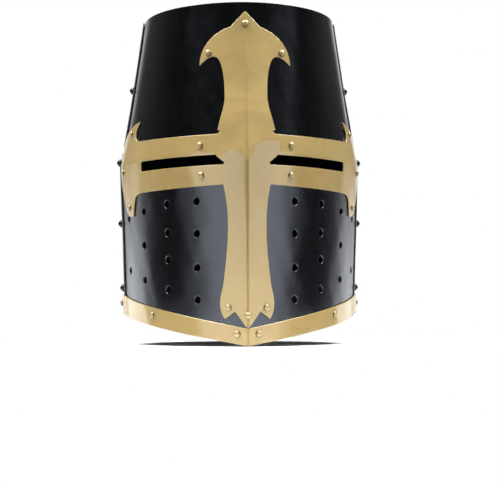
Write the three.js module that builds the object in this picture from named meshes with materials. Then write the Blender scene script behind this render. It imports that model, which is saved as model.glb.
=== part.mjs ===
// Great helm of riveted steel plates with brass trim and a leather liner, in millimetres.
// +Z is up and the face looks along -Y. The origin lies under the middle of the helmet, level with
// the front tip of the rim. Every sheet piece is drawn flat, as its blank would be cut, and the
// blank is then rolled onto the form of the helmet.
import * as THREE from 'three';

// Form of the helmet at the rim, the waist and the crown
const waistHeight = 152;
const crownHeight = 277;
const rimHalfWidth = 95.8;
const waistHalfWidth = 101;
const crownHalfWidth = 80.7;
const rimReach = 127.6; // from the axis forward to the keel
const waistReach = 126.3;
const crownReach = 100.5;
const rimBack = 120.5; // from the axis to the back
const waistBack = 120.5;
const crownBack = 95.5;
const rimKeel = 45; // how much of the reach the sharp keel makes
const waistKeel = 39;
const bell = 0.9; // hollow of the upper cone between waist and crown
const bellShares = [0.3, 0.6, 0.85]; // heights of the bends that make the hollow
const leanBlend = 8; // height over which the upper lean fades in at the waist
const rimRise = 25.5; // from the front tip up to the rim at the sides and back

// Sheets, and the clearance between pieces that touch
const steel = 1.2;
const brass = 1;
const leather = 2.5;
const thong = 2; // leather of the tongues
const gap = 0.3;
const joggle = 6; // width of the step where one sheet climbs over another
const layer = steel + gap;

// Eye slits and the plates round them
const slitDrop = 9.1; // from the waist down to the face plate's edge
const slitHeight = 9;
const slitEnd = 111.2; // from the keel, along the sheet
const nasalHalfWidth = 18.5;
const lapRise = 12.6; // from the slit up to the edge of the lower plates that lap over the upper ones
const lapStart = 161; // front edge of the back plates, from the keel along the sheet
const lapWidth = 14;
const lapCorner = 7; // chamfer of the lower back plate's top corners
const earCorner = 4;
const breathRadius = 2.9;

// Crown
const crownDome = 4;
const crownFlange = 10;
const crownFlat = 25; // half width of the flat middle
const crownRound = 2.5;

// Brass
const barTopDrop = 8.3; // from the crown down to the bar's point
const barHook = 38.7; // half width over the hooks
const trimHeight = 13.8;
const trimGrowth = 2.8; // how much taller the trim is at its ends
const trimPast = 12.5; // from the back plate's edge to the end of the trim
const bandInner = 13.5; // hidden end of an eye band, from the keel
const bandOver = 18.6; // width of an eye band above the slit, and below it
const bandUnder = 16.2;
const hornOver = 15.8; // how far the horns reach past the band
const hornUnder = 19.8;
const bandShort = 5.5; // from the band's widest reach to the back plate's edge
const slitShow = 0.5; // brass that shows past the steel round the slit
const slitEndShow = 2;

// Rivets
const brassShank = 1.1;
const brassHead = 2.65;
const brassDome = 1.7;
const blackShank = 1.5;
const blackHead = 3.4;
const blackDome = 3.2;
const peenGrowth = 1; // how far the peened inner head stands out round the shank
const peenHeight = 0.8;

// Liner
const linerFootShare = 0.417; // of the height from the horns up to the hook rivets
const linerOverRivet = 8; // from the hook rivets up to the edge of the head band
const linerRivetShare = 0.32; // of the width of the head band, where its side rivets lie
const linerSplit = 1; // gap between the ends of the head band
const tongueFootShare = 0.364; // of the height from the side rivets to the edge of the head band
const tongueCount = 8;
const tongueClear = 1.5; // from a hook rivet's inner head to the tongue beside it
const tongueRise = 19;
const tongueBend = 1.25; // radians over which a tongue bends in
const tongueTaper = 0.25;
const lace = 1.6; // radius
const hemInset = 3; // from the end of the bend in to the lace
const hemTurn = 4.9; // radians that the tunnel at a tongue's tip is rolled

// Places of the rivets. The shares are of the reach and the height of the piece that they hold.
const barTopRivetShare = 0.959;
const barFootRivetShare = 0.038;
const hookRivetShares = [0.783, 0.8684];
const footRivetShares = [0.398, 0.0625];
const overSlitRivetShares = [0.257, 0.664];
const underSlitRivetShares = [0.253, 0.363];
const upperHornRivetShares = [0.827, 0.882];
const sideBandRivetShares = [0.94, 0.486];
const lowerHornRivetShares = [0.848, 0.101];
const trimRivetShares = [0.047, 0.564];
const trimRivetRiseShare = 0.58;
const lapRivetShare = 0.3; // of the height of the ears over the slits
const seamRivetShares = [0.61, 0.06]; // of the height from the trim up to the slits
const backRivetReach = 82; // from the middle of the back, round the waist
const linerRivetReach = 43;
const valleyGap = 1.6; // the inner head stands this far into the hollow of the keel

// Fineness of the facets
const bendCount = 30; // flats in half the way round
const arcSteps = 360;
const snap = 0.02; // corners nearer than this to a bend are moved
const weld = 1e-5;
const least = 1e-9;
const curveSteps = 5;
const holeCorners = 6;
const rivetSegments = 7;
const domeSteps = 2;
const peenShare = 0.7; // flat middle of a peened head
const tongueSteps = 4;
const tongueColumns = 3;
const hemSteps = 5;
const laceSteps = 20;
const laceSides = 6;
const breathCorners = 8;
// Breaths: a column's share of the way from the keel to the side, then the heights of its holes as
// shares of the face plate below the slits
const breathShares = [
  [0.281, 0.807, 0.626, 0.435, 0.2555],
  [0.478, 0.802, 0.639, 0.485, 0.3155],
  [0.677, 0.772, 0.576, 0.375],
  [0.855, 0.739, 0.4345],
];

// Sizes that follow from these
const slitBottom = waistHeight - slitDrop;
const slitTop = slitBottom + slitHeight;
const lapTop = slitTop + lapRise;
const barTop = crownHeight - barTopDrop;
const barBottom = trimHeight + gap;
const bandTop = slitTop + bandOver;
const bandBottom = slitBottom - bandUnder;
const hornTop = bandTop + hornOver;
const hornBottom = bandBottom - hornUnder;
const bandReach = lapStart - bandShort;
const trimEnd = lapStart + trimPast;
const hookRivetHeight = THREE.MathUtils.lerp(barBottom, barTop, hookRivetShares[1]);
const linerTop = hookRivetHeight + linerOverRivet;
const linerBottom = THREE.MathUtils.lerp(hornTop, hookRivetHeight, linerFootShare);
const sideLinerRivetHeight = THREE.MathUtils.lerp(linerBottom, linerTop, linerRivetShare);
const sideRivetTop = sideLinerRivetHeight + blackShank + peenGrowth;
const tongueFoot = THREE.MathUtils.lerp(sideRivetTop, linerTop, tongueFootShare);

const black = new THREE.MeshStandardMaterial({ color: 0x1b1c1f, roughness: 0.42, metalness: 0.6 });
const yellow = new THREE.MeshStandardMaterial({ color: 0xc9a15a, roughness: 0.25, metalness: 1 });
const hide = new THREE.MeshStandardMaterial({ color: 0x5a3a22, roughness: 0.8, metalness: 0 });
const helmet = new THREE.Group();

// The form: a section with a keel in front and a plain oval behind, which changes with height
const rimLevel = { z: 0, halfWidth: rimHalfWidth, reach: rimReach, back: rimBack, keel: rimKeel };
const waistLevel = {
  z: waistHeight, halfWidth: waistHalfWidth, reach: waistReach, back: waistBack, keel: waistKeel,
};
const crownLevel = {
  z: crownHeight, halfWidth: crownHalfWidth, reach: crownReach, back: crownBack, keel: 0,
};

function formAt(z) {
  const upper = z >= waistHeight;
  const low = upper ? waistLevel : rimLevel;
  const high = upper ? crownLevel : waistLevel;
  const share = (z - low.z) / (high.z - low.z);
  const hollow = upper ? bell * Math.sin(Math.PI * share) : 0;
  const mix = (name) => low[name] + (high[name] - low[name]) * share;
  return {
    halfWidth: mix('halfWidth') - hollow,
    reach: mix('reach') - hollow,
    back: mix('back') - hollow,
    keel: mix('keel'),
  };
}

// A turn of 0 is the keel, a quarter turn the side and a half turn the back
function section(turn, z) {
  const form = formAt(z);
  const across = Math.sin(turn);
  const along = Math.cos(turn);
  const round = (form.reach - form.keel) * along + form.keel * (1 - Math.abs(across));
  return new THREE.Vector3(form.halfWidth * across, along > 0 ? -round : -form.back * along, z);
}

// The outward direction in plan, longer at the keel so that both flats keep their thickness
function outward(turn, z) {
  const form = formAt(z);
  if (turn === 0) {
    return new THREE.Vector3(0, -Math.hypot(form.keel, form.halfWidth) / form.halfWidth, 0);
  }
  const across = Math.sin(turn);
  const along = Math.cos(turn);
  const front = (form.reach - form.keel) * across + form.keel * along * Math.sign(across);
  const slope = along > 0 ? front : form.back * across;
  return new THREE.Vector3(slope, -form.halfWidth * along, 0).normalize();
}

// How much the surface leans in for each millimetre of height
function lean(turn, z) {
  const direction = outward(turn, z).normalize();
  const leanBetween = (low, high) => {
    const step = section(turn, high).sub(section(turn, low));
    return -step.dot(direction) / (high - low);
  };
  const blend = (z - waistHeight + leanBlend) / (leanBlend + leanBlend);
  const upperShare = THREE.MathUtils.clamp(blend, 0, 1);
  const lower = leanBetween(0, waistHeight);
  const upper = leanBetween(waistHeight, crownHeight - crownFlange);
  return THREE.MathUtils.lerp(lower, upper, upperShare);
}

// Running length round the section, from the keel to the back
const arcTables = new Map();
function arcTable(z) {
  if (!arcTables.has(z)) {
    const lengths = [0];
    for (let i = 1; i <= arcSteps; i++) {
      const from = section((Math.PI * (i - 1)) / arcSteps, z);
      lengths.push(lengths[i - 1] + section((Math.PI * i) / arcSteps, z).distanceTo(from));
    }
    arcTables.set(z, lengths);
  }
  return arcTables.get(z);
}

function turnAtLength(length, z) {
  const lengths = arcTable(z);
  let i = 1;
  while (i < arcSteps && lengths[i] < length) i++;
  const share = (length - lengths[i - 1]) / (lengths[i] - lengths[i - 1]);
  return (Math.PI * (i - 1 + share)) / arcSteps;
}

function lengthAtTurn(turn, z) {
  const lengths = arcTable(z);
  const place = THREE.MathUtils.clamp((turn / Math.PI) * arcSteps, 0, arcSteps - least);
  const i = Math.floor(place);
  return lengths[i] + (lengths[i + 1] - lengths[i]) * (place - i);
}

// Sheet coordinates: the first is the length round the waist, the second the height
const halfRound = arcTable(waistHeight)[arcSteps];
const bendStep = halfRound / bendCount;

function turnAtBend(index) {
  if (index < 0) return -turnAtBend(-index);
  if (index > bendCount) return Math.PI + Math.PI - turnAtBend(bendCount + bendCount - index);
  return index === 0 ? 0 : turnAtLength(index * bendStep, waistHeight);
}

// The sheet coordinate of a point at a length from the keel, measured along the sheet at its height
function fromKeel(length, z) {
  const side = Math.sign(length);
  return side * lengthAtTurn(turnAtLength(Math.abs(length), z), waistHeight);
}

const bendSpots = new Map();
function spotAtBend(index, z) {
  const key = `${index} ${z}`;
  if (!bendSpots.has(key)) {
    const turn = turnAtBend(index);
    const tilt = lean(turn, z);
    const direction = outward(turn, z);
    direction.z = tilt;
    direction.divideScalar(Math.hypot(1, tilt));
    bendSpots.set(key, { point: section(turn, z), direction });
  }
  return bendSpots.get(key);
}

// A point on the form, moved out from it by an offset
function onForm(along, z, offset) {
  const place = along / bendStep;
  const index = Math.floor(place + least);
  const near = spotAtBend(index, z);
  const far = spotAtBend(index + 1, z);
  const start = near.point.clone().addScaledVector(near.direction, offset);
  const end = far.point.clone().addScaledVector(far.direction, offset);
  return start.lerp(end, place - index);
}

// Cutting a blank into the flats between its bends. A loop is a list of [along, height] points,
// anticlockwise round the blank and clockwise round a hole.
function loopArea(loop) {
  let sum = 0;
  loop.forEach((point, i) => {
    const next = loop[(i + 1) % loop.length];
    sum += point[0] * next[1] - next[0] * point[1];
  });
  return sum / 2;
}

function cleanLoop(loop) {
  return loop.filter((point, i) => {
    const last = loop[(i + loop.length - 1) % loop.length];
    return Math.hypot(point[0] - last[0], point[1] - last[1]) > weld;
  });
}

// What is left of the loops on one side of a line across an axis
function clip(loops, axis, line, above) {
  const other = 1 - axis;
  const isInside = (point) => (point[axis] >= line) === above;
  const crossing = (a, b) => {
    const [from, to] = a[axis] < b[axis] ? [a, b] : [b, a];
    const share = (line - from[axis]) / (to[axis] - from[axis]);
    const point = [line, line];
    point[other] = from[other] + (to[other] - from[other]) * share;
    return point;
  };
  const whole = [];
  const chains = [];
  for (const loop of loops) {
    const inside = loop.map(isInside);
    if (inside.every(Boolean)) whole.push(loop);
    if (inside.every(Boolean) || !inside.some(Boolean)) continue;
    const count = loop.length;
    const first = inside.findIndex((value, i) => !value && inside[(i + 1) % count]);
    let chain = null;
    for (let step = 0; step < count; step++) {
      const i = (first + step) % count;
      const next = (i + 1) % count;
      if (!inside[i] && inside[next]) chain = [crossing(loop[next], loop[i])];
      if (inside[next]) chain.push(loop[next]);
      if (inside[i] && !inside[next]) chains.push([...chain, crossing(loop[i], loop[next])]);
    }
  }
  const ends = chains.flatMap((chain, i) => [
    { chain: i, entry: true, place: chain[0][other] },
    { chain: i, entry: false, place: chain[chain.length - 1][other] },
  ]);
  ends.sort((a, b) => a.place - b.place);
  const follows = new Map();
  for (let i = 0; i + 1 < ends.length; i += 2) {
    // Ends at one place may have been sorted the wrong way round
    const swap = ends[i].entry === ends[i + 1].entry;
    if (swap) [ends[i + 1], ends[i + 2]] = [ends[i + 2], ends[i + 1]];
    const [exit, entry] = ends[i].entry ? [ends[i + 1], ends[i]] : [ends[i], ends[i + 1]];
    follows.set(exit.chain, entry.chain);
  }
  const used = new Set();
  chains.forEach((chain, start) => {
    const joined = [];
    for (let i = start; !used.has(i); i = follows.get(i)) {
      used.add(i);
      joined.push(...chains[i]);
    }
    if (joined.length) whole.push(joined);
  });
  return whole.map(cleanLoop).filter((loop) => loop.length > 2 && Math.abs(loopArea(loop)) > weld);
}

function slabs(loops, axis, lines) {
  const parts = [];
  let rest = loops;
  for (const line of lines) {
    const part = clip(rest, axis, line, false);
    if (part.length) parts.push(part);
    rest = clip(rest, axis, line, true);
  }
  return rest.length ? [...parts, rest] : parts;
}

function isWithin(point, loop) {
  let within = false;
  loop.forEach((a, i) => {
    const b = loop[(i + 1) % loop.length];
    const crosses = (a[1] > point[1]) !== (b[1] > point[1]);
    const reach = a[0] + ((b[0] - a[0]) * (point[1] - a[1])) / (b[1] - a[1]);
    if (crosses && point[0] < reach) within = !within;
  });
  return within;
}

// Triangles of one flat, each anticlockwise, as lists of points
function flatTriangles(loops) {
  const triangles = [];
  const holes = loops.filter((loop) => loopArea(loop) < 0);
  for (const loop of loops.filter((candidate) => loopArea(candidate) > 0)) {
    const inner = holes.filter((hole) => isWithin(hole[0], loop));
    const points = [loop, ...inner].flat();
    const vectors = (list) => list.map((point) => new THREE.Vector2(...point));
    for (const face of THREE.ShapeUtils.triangulateShape(vectors(loop), inner.map(vectors))) {
      const corners = face.map((i) => points[i]);
      const area = loopArea(corners);
      if (area !== 0) triangles.push(area > 0 ? corners : corners.reverse());
    }
  }
  return triangles;
}

// A corner on a line stays there, and one that lies all but on it moves clear on its own side
function settle(value, lines, isHole) {
  const near = lines.find((line) => Math.abs(line - value) < snap);
  if (near === undefined) return value;
  if (!isHole && Math.abs(value - near) < weld) return near;
  return value < near ? near - snap : near + snap;
}

// A closed solid from a flat blank: every corner of its flats gets one place on each skin
function solidFromFlats(triangles, place) {
  const keys = new Map();
  const corners = [];
  const indexOf = (point) => {
    const key = point.map((value) => Math.round(value / weld)).join(' ');
    if (!keys.has(key)) {
      keys.set(key, corners.length);
      corners.push(point);
    }
    return keys.get(key);
  };
  const faces = triangles.map((triangle) => triangle.map(indexOf));
  const edges = new Set(faces.flatMap(([a, b, c]) => [`${a} ${b}`, `${b} ${c}`, `${c} ${a}`]));
  const count = corners.length;
  const index = [];
  for (const [a, b, c] of faces) {
    index.push(a, b, c, c + count, b + count, a + count);
    for (const [from, to] of [[a, b], [b, c], [c, a]]) {
      const shared = edges.has(`${to} ${from}`);
      if (!shared) index.push(to, from, from + count, to, from + count, to + count);
    }
  }
  const outer = corners.flatMap((point) => place(point, true).toArray());
  const inner = corners.flatMap((point) => place(point, false).toArray());
  const geometry = new THREE.BufferGeometry();
  geometry.setAttribute('position', new THREE.Float32BufferAttribute([...outer, ...inner], 3));
  geometry.setIndex(index);
  geometry.computeVertexNormals();
  return geometry;
}

function addMesh(name, geometry, material) {
  const mesh = new THREE.Mesh(geometry, material.clone());
  mesh.name = name;
  helmet.add(mesh);
  return mesh;
}

// A sheet piece. Its offset, from the form to its inner skin, is a function of the place.
function addSheet(name, material, sheet) {
  const bends = [...sheet.joggles ?? []];
  for (let i = -bendCount; i <= bendCount + bendCount; i++) bends.push(i * bendStep);
  bends.sort((a, b) => a - b);
  const levels = [...sheet.levels ?? [], waistHeight].sort((a, b) => a - b);
  const loops = sheet.loops.map((loop, i) => (
    cleanLoop(loop.map(([along, z]) => [settle(along, bends, i > 0), settle(z, levels, i > 0)]))
  ));
  const flats = slabs(loops, 0, bends).flatMap((slab) => slabs(slab, 1, levels));
  const place = ([along, z], isOuter) => {
    const offset = sheet.offset(along, z) + (isOuter ? sheet.thickness : 0);
    return onForm(along, z, offset);
  };
  return addMesh(name, solidFromFlats(flats.flatMap(flatTriangles), place), material);
}

// Places round the helmet, in sheet coordinates
const frontEnd = lapStart + lapWidth; // rear edge of the front plates
const backStart = halfRound + halfRound - lapStart; // the back plates run from lapStart to here
const lapRivet = lapStart + lapWidth / 2;
const ramp = (value, start, width) => THREE.MathUtils.clamp((value - start) / width, 0, 1);
const fromFront = (along) => Math.min(Math.abs(along), halfRound + halfRound - Math.abs(along));

function rimAt(along) {
  return rimRise * Math.min(1, Math.abs(along) / lapStart);
}

// Points along an edge from one place to another, with one on every bend between
function edgePoints(from, to, heightAt) {
  const points = [[from, heightAt(from)]];
  const first = Math.floor(from / bendStep) + 1;
  for (let i = first; i * bendStep < to - snap; i++) {
    points.push([i * bendStep, heightAt(i * bendStep)]);
  }
  points.push([to, heightAt(to)]);
  return points;
}

// A whole outline from its right half, which runs anticlockwise from the bottom to the top
function mirrored(half) {
  const left = half.filter((point) => point[0] > weld).map(([along, z]) => [-along, z]);
  return [...half, ...left.reverse()];
}

// How far the upper plates are set in under the lower ones, and where the lap joints lie
const lapEdge = lapTop + gap;
const setInFrom = lapStart - gap - joggle;
function cover(along, z) {
  const side = fromFront(along);
  const nasal = 1 - ramp(side, nasalHalfWidth + gap, joggle);
  const ear = ramp(side, slitEnd - gap - joggle, joggle);
  return (1 - ramp(z, lapEdge, joggle)) * Math.max(nasal, ear);
}
const overLap = (along) => 1 - ramp(fromFront(along), frontEnd + gap, joggle);
const underLap = (along) => ramp(fromFront(along), setInFrom, joggle);

const coverBends = [nasalHalfWidth + gap, slitEnd - gap, setInFrom].flatMap((place) => {
  const start = place === slitEnd - gap ? place - joggle : place;
  return [start, start + joggle, -start, -start - joggle];
});
const backBends = [frontEnd + gap, frontEnd + gap + joggle].flatMap((place) => (
  [place, halfRound + halfRound - place]
));
const coverLevels = [lapEdge, lapEdge + joggle];
const bellLevels = bellShares.map((share) => THREE.MathUtils.lerp(waistHeight, crownHeight, share));

// Outlines as shares of a piece's reach from the keel and of its height. An entry of two numbers is
// a straight line to that place, and one of six is a curve with its two guides first.
function drawOutline(shares, reach, bottom, top) {
  const at = (list, i) => [list[i] * reach, THREE.MathUtils.lerp(bottom, top, list[i + 1])];
  const path = new THREE.Path();
  path.moveTo(...at(shares[0], 0));
  for (const entry of shares.slice(1)) {
    if (entry.length === 2) path.lineTo(...at(entry, 0));
    else path.bezierCurveTo(...at(entry, 0), ...at(entry, 2), ...at(entry, 4));
  }
  return path.getPoints(curveSteps).map((point) => [fromKeel(point.x, point.y), point.y]);
}

const barShares = [
  [0, 0],
  [0.257, 0.0509],
  [0.486, 0.0275],
  [0.548, 0.0395, 0.592, 0.055, 0.592, 0.076],
  [0.592, 0.1, 0.545, 0.113, 0.512, 0.138],
  [0.462, 0.1954, 0.386, 0.258, 0.386, 0.335],
  [0.386, 0.405, 0.505, 0.455, 0.574, 0.4996],
  [0.451, 0.512],
  [0.605, 0.529],
  [0.68, 0.537, 0.718, 0.552, 0.718, 0.5675],
  [0.718, 0.586, 0.64, 0.6045, 0.534, 0.611],
  [0.607, 0.6155],
  [0.521, 0.6652, 0.436, 0.69, 0.438, 0.725],
  [0.441, 0.78, 0.478, 0.8414, 0.612, 0.852],
  [0.732, 0.861, 0.844, 0.8473, 1, 0.8293],
  [0.968, 0.8963, 0.645, 0.9315, 0.297, 0.9498],
  [0, 1],
];
const bandShares = [
  [0.0866, 0.26],
  [0.693, 0.238],
  [0.738, 0.236, 0.771, 0.218, 0.7805, 0.18],
  [0.8025, 0],
  [0.857, 0.008],
  [0.891, 0.057],
  [0.916, 0.141, 0.99, 0.29, 1, 0.467],
  [1, 0.625, 0.992, 0.743, 0.972, 0.822],
  [0.955, 0.877, 0.905, 0.931, 0.836, 0.956],
  [0.724, 1],
  [0.744, 0.9555, 0.769, 0.9065, 0.769, 0.857],
  [0.769, 0.8125, 0.757, 0.786, 0.728, 0.782],
  [0.381, 0.772],
  [0.0866, 0.768],
];

// Rivets: the place, the two faces of the stack that they close on, and the sheets they go through
const rivets = [];
const overBrass = layer + brass + gap;
const overBlack = layer + steel + gap;
const underLiner = -gap - leather - gap;
function planRivet(name, isBlack, along, z, inner, outer, through) {
  rivets.push({ name, isBlack, along, z, inner, outer, through });
}

const sides = [['left', 1], ['right', -1]];
const liner = 'liner_band';
const underCover = -layer - gap;
const barAt = (shares) => [shares[0] * barHook, THREE.MathUtils.lerp(barBottom, barTop, shares[1])];
const bandAt = (shares) => (
  [shares[0] * bandReach, THREE.MathUtils.lerp(hornBottom, hornTop, shares[1])]
);
const trimTopAt = (along) => rimAt(along) + trimHeight + (trimGrowth * Math.abs(along)) / trimEnd;
const trimMiddleAt = (along) => (
  THREE.MathUtils.lerp(rimAt(along), trimTopAt(along), trimRivetRiseShare)
);
const lapRivetHeight = THREE.MathUtils.lerp(slitTop, lapTop, lapRivetShare);
const onPlate = steel + gap;
const backLap = ['upper_back_plate', 'lower_back_plate'];
const barPlace = (shares) => barAt([0, shares])[1];
planRivet('bar_rivet_top', false, 0, barPlace(barTopRivetShare), -gap, overBrass, [
  'upper_front_plate', 'cross_bar',
]);
planRivet('bar_rivet_foot', false, 0, barPlace(barFootRivetShare), -valleyGap, overBrass, [
  'lower_front_plate', 'cross_bar',
]);
planRivet('back_rivet_waist', true, halfRound, lapRivetHeight, underCover, onPlate, backLap);
for (const [side, sign] of sides) {
  const plan = (name, place, inner, through) => (
    planRivet(`${side}_${name}`, false, sign * fromKeel(...place), place[1], inner, overBrass, through)
  );
  const band = `${side}_eye_band`;
  const upperBand = ['upper_front_plate', band];
  const lowerBand = ['lower_front_plate', band];
  plan('bar_rivet_hook', barAt(hookRivetShares), underLiner, ['upper_front_plate', 'cross_bar', liner]);
  plan('bar_rivet_foot', barAt(footRivetShares), -gap, ['lower_front_plate', 'cross_bar']);
  plan('band_rivet_over_slit', bandAt(overSlitRivetShares), -gap, upperBand);
  plan('band_rivet_under_slit', bandAt(underSlitRivetShares), -gap, lowerBand);
  plan('band_rivet_upper_horn', bandAt(upperHornRivetShares), -gap, upperBand);
  plan('band_rivet_side', bandAt(sideBandRivetShares), -gap, lowerBand);
  plan('band_rivet_lower_horn', bandAt(lowerHornRivetShares), -gap, lowerBand);
  const lowerLap = ['lower_front_plate', 'lower_back_plate'];
  const upperLap = ['upper_front_plate', 'upper_back_plate'];
  const trim = (name, along, outer, through) => (
    planRivet(`${side}_trim_rivet_${name}`, false, sign * along, trimMiddleAt(along), -gap, outer, [
      ...through, 'rim_trim',
    ])
  );
  trim('front', trimRivetShares[0] * trimEnd, overBrass, ['lower_front_plate']);
  trim('middle', trimRivetShares[1] * trimEnd, overBrass, ['lower_front_plate']);
  trim('end', lapRivet, overBrass + layer, lowerLap);
  const lap = (name, z, inner, through) => (
    planRivet(`${side}_seam_rivet_${name}`, true, sign * lapRivet, z, inner, overBlack, through)
  );
  lap('1', sideLinerRivetHeight, underLiner, [...upperLap, liner]);
  lap('2', lapRivetHeight, -layer - layer - gap, [...upperLap, ...lowerLap]);
  seamRivetShares.forEach((share, i) => {
    lap(`${i + 3}`, THREE.MathUtils.lerp(trimTopAt(lapRivet), slitBottom, share), -gap, lowerLap);
  });
  const back = (name, reach, z, inner, through) => (
    planRivet(`${side}_back_rivet_${name}`, true, halfRound + sign * reach, z, inner, onPlate, through)
  );
  back('waist', backRivetReach, lapRivetHeight, underCover, backLap);
  back('liner', linerRivetReach, sideLinerRivetHeight, underLiner, ['upper_back_plate', liner]);
}

// The same place on the left or right of the back, for a sheet that starts at another end
function holePlace(along, sheetStart, sheetEnd) {
  const turnRound = halfRound + halfRound;
  const places = [along, along + turnRound, along - turnRound];
  return places.find((place) => place > sheetStart && place < sheetEnd);
}

function roundHole(along, z, radius, corners) {
  const stretch = halfRound / arcTable(z)[arcSteps];
  const points = [];
  for (let i = 0; i < corners; i++) {
    const turn = (-Math.PI * (i + i + 1)) / corners;
    points.push([along + radius * stretch * Math.cos(turn), z + radius * Math.sin(turn)]);
  }
  return points;
}

function rivetHoles(name, sheetStart, sheetEnd) {
  return rivets.filter((entry) => entry.through.includes(name)).map((entry) => {
    const shank = entry.isBlack ? blackShank : brassShank;
    const radius = (shank + gap) / Math.cos(Math.PI / holeCorners);
    return roundHole(holePlace(entry.along, sheetStart, sheetEnd), entry.z, radius, holeCorners);
  });
}

// Upper plates
const upperFrontOffset = (along, z) => -layer * cover(along, z) * (1 + underLap(along));
const upperBackOffset = (along, z) => {
  const set = cover(along, z);
  return layer * (overLap(along) * (1 - set) - set);
};
addSheet('upper_front_plate', black, {
  loops: [
    [[-frontEnd, slitTop], [frontEnd, slitTop], [frontEnd, crownHeight], [-frontEnd, crownHeight]],
    ...rivetHoles('upper_front_plate', -frontEnd, frontEnd),
  ],
  joggles: coverBends,
  levels: [...coverLevels, ...bellLevels],
  offset: upperFrontOffset,
  thickness: steel,
});
addSheet('upper_back_plate', black, {
  loops: [
    [[lapStart, slitTop], [backStart, slitTop], [backStart, crownHeight], [lapStart, crownHeight]],
    ...rivetHoles('upper_back_plate', lapStart, backStart),
  ],
  joggles: backBends,
  levels: [...coverLevels, ...bellLevels],
  offset: upperBackOffset,
  thickness: steel,
});

// Lower plates
function breathHoles() {
  const holes = [];
  for (const [column, ...heights] of breathShares) {
    for (const share of heights) {
      const z = share * slitBottom;
      for (const sign of [1, -1]) {
        holes.push(roundHole(sign * fromKeel(column * lapStart, z), z, breathRadius, breathCorners));
      }
    }
  }
  return holes;
}
addSheet('lower_front_plate', black, {
  loops: [
    mirrored([
      ...edgePoints(0, frontEnd, rimAt),
      [frontEnd, lapTop - earCorner],
      [frontEnd - earCorner, lapTop],
      [slitEnd + earCorner, lapTop],
      [slitEnd, lapTop - earCorner],
      [slitEnd, slitBottom],
      [nasalHalfWidth, slitBottom],
      [nasalHalfWidth, lapTop - earCorner],
      [nasalHalfWidth - earCorner, lapTop],
    ]),
    ...breathHoles(),
    ...rivetHoles('lower_front_plate', -frontEnd, frontEnd),
  ],
  offset: () => 0,
  thickness: steel,
});
addSheet('lower_back_plate', black, {
  loops: [
    [
      ...edgePoints(lapStart, backStart, (along) => rimAt(fromFront(along))),
      [backStart, lapTop - lapCorner],
      [backStart - lapCorner, lapTop],
      [lapStart + lapCorner, lapTop],
      [lapStart, lapTop - lapCorner],
    ],
    ...rivetHoles('lower_back_plate', lapStart, backStart),
  ],
  joggles: backBends,
  offset: (along) => layer * overLap(along),
  thickness: steel,
});

// Brass
const barRaise = (z) => (
  ramp(z, bandBottom - gap - joggle, joggle) * (1 - ramp(z, bandTop + gap, joggle))
);
const raiseLevels = [bandBottom - gap - joggle, bandBottom - gap, bandTop + gap, bandTop + gap + joggle];
addSheet('cross_bar', yellow, {
  loops: [
    mirrored(drawOutline(barShares, barHook, barBottom, barTop)),
    ...rivetHoles('cross_bar', -barHook - barHook, barHook + barHook),
  ],
  levels: [...raiseLevels, ...bellLevels],
  offset: (along, z) => layer + (brass + gap) * barRaise(z),
  thickness: brass,
});
for (const [side, sign] of sides) {
  const outline = [
    ...drawOutline(bandShares, bandReach, hornBottom, hornTop),
    ...[
      [bandInner, slitTop - slitShow],
      [slitEnd - slitEndShow, slitTop - slitShow],
      [slitEnd - slitEndShow, slitBottom + slitShow],
      [bandInner, slitBottom + slitShow],
    ].map(([length, z]) => [fromKeel(length, z), z]),
  ].map(([along, z]) => [sign * along, z]);
  addSheet(`${side}_eye_band`, yellow, {
    loops: [
      sign > 0 ? outline : outline.reverse(),
      ...rivetHoles(`${side}_eye_band`, -frontEnd, frontEnd),
    ],
    offset: () => layer,
    thickness: brass,
  });
}
addSheet('rim_trim', yellow, {
  loops: [
    mirrored([...edgePoints(0, trimEnd, rimAt), ...edgePoints(0, trimEnd, trimTopAt).reverse()]),
    ...rivetHoles('rim_trim', -trimEnd, trimEnd),
  ],
  joggles: [setInFrom, setInFrom + joggle, -setInFrom, -setInFrom - joggle],
  offset: (along) => layer + layer * underLap(along),
  thickness: brass,
});

// Rings of points joined into one closed skin, from a single point to a single point
function loftRings(rings) {
  const points = rings.flat();
  const starts = rings.map((ring, i) => rings.slice(0, i).reduce((sum, each) => sum + each.length, 0));
  const index = [];
  for (let i = 0; i + 1 < rings.length; i++) {
    const [near, far] = [rings[i].length, rings[i + 1].length];
    const count = Math.max(near, far);
    for (let j = 0; j < count; j++) {
      const next = (j + 1) % count;
      const pair = (ring, size) => (
        size === 1 ? [starts[ring], starts[ring]] : [starts[ring] + j, starts[ring] + next]
      );
      const [a, b] = pair(i, near);
      const [c, d] = pair(i + 1, far);
      if (far > 1) index.push(a, c, d);
      if (near > 1) index.push(a, d, b);
    }
  }
  const geometry = new THREE.BufferGeometry();
  const places = points.flatMap((each) => each.toArray());
  geometry.setAttribute('position', new THREE.Float32BufferAttribute(places, 3));
  geometry.setIndex(index);
  geometry.computeVertexNormals();
  return geometry;
}

// Crown plate: a low dome with a flat middle, and a flange turned down inside the upper plates
const crownMiddle = (crownBack - crownReach) / 2;
const roundBends = Array.from({ length: bendCount + bendCount }, (_, i) => i);

function crownRing(reachShare, z) {
  const middle = new THREE.Vector3(0, crownMiddle, z);
  return roundBends.map((bend) => {
    const edge = onForm(bend * bendStep, crownHeight, -gap).setZ(z);
    return middle.clone().lerp(edge, reachShare);
  });
}

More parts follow.
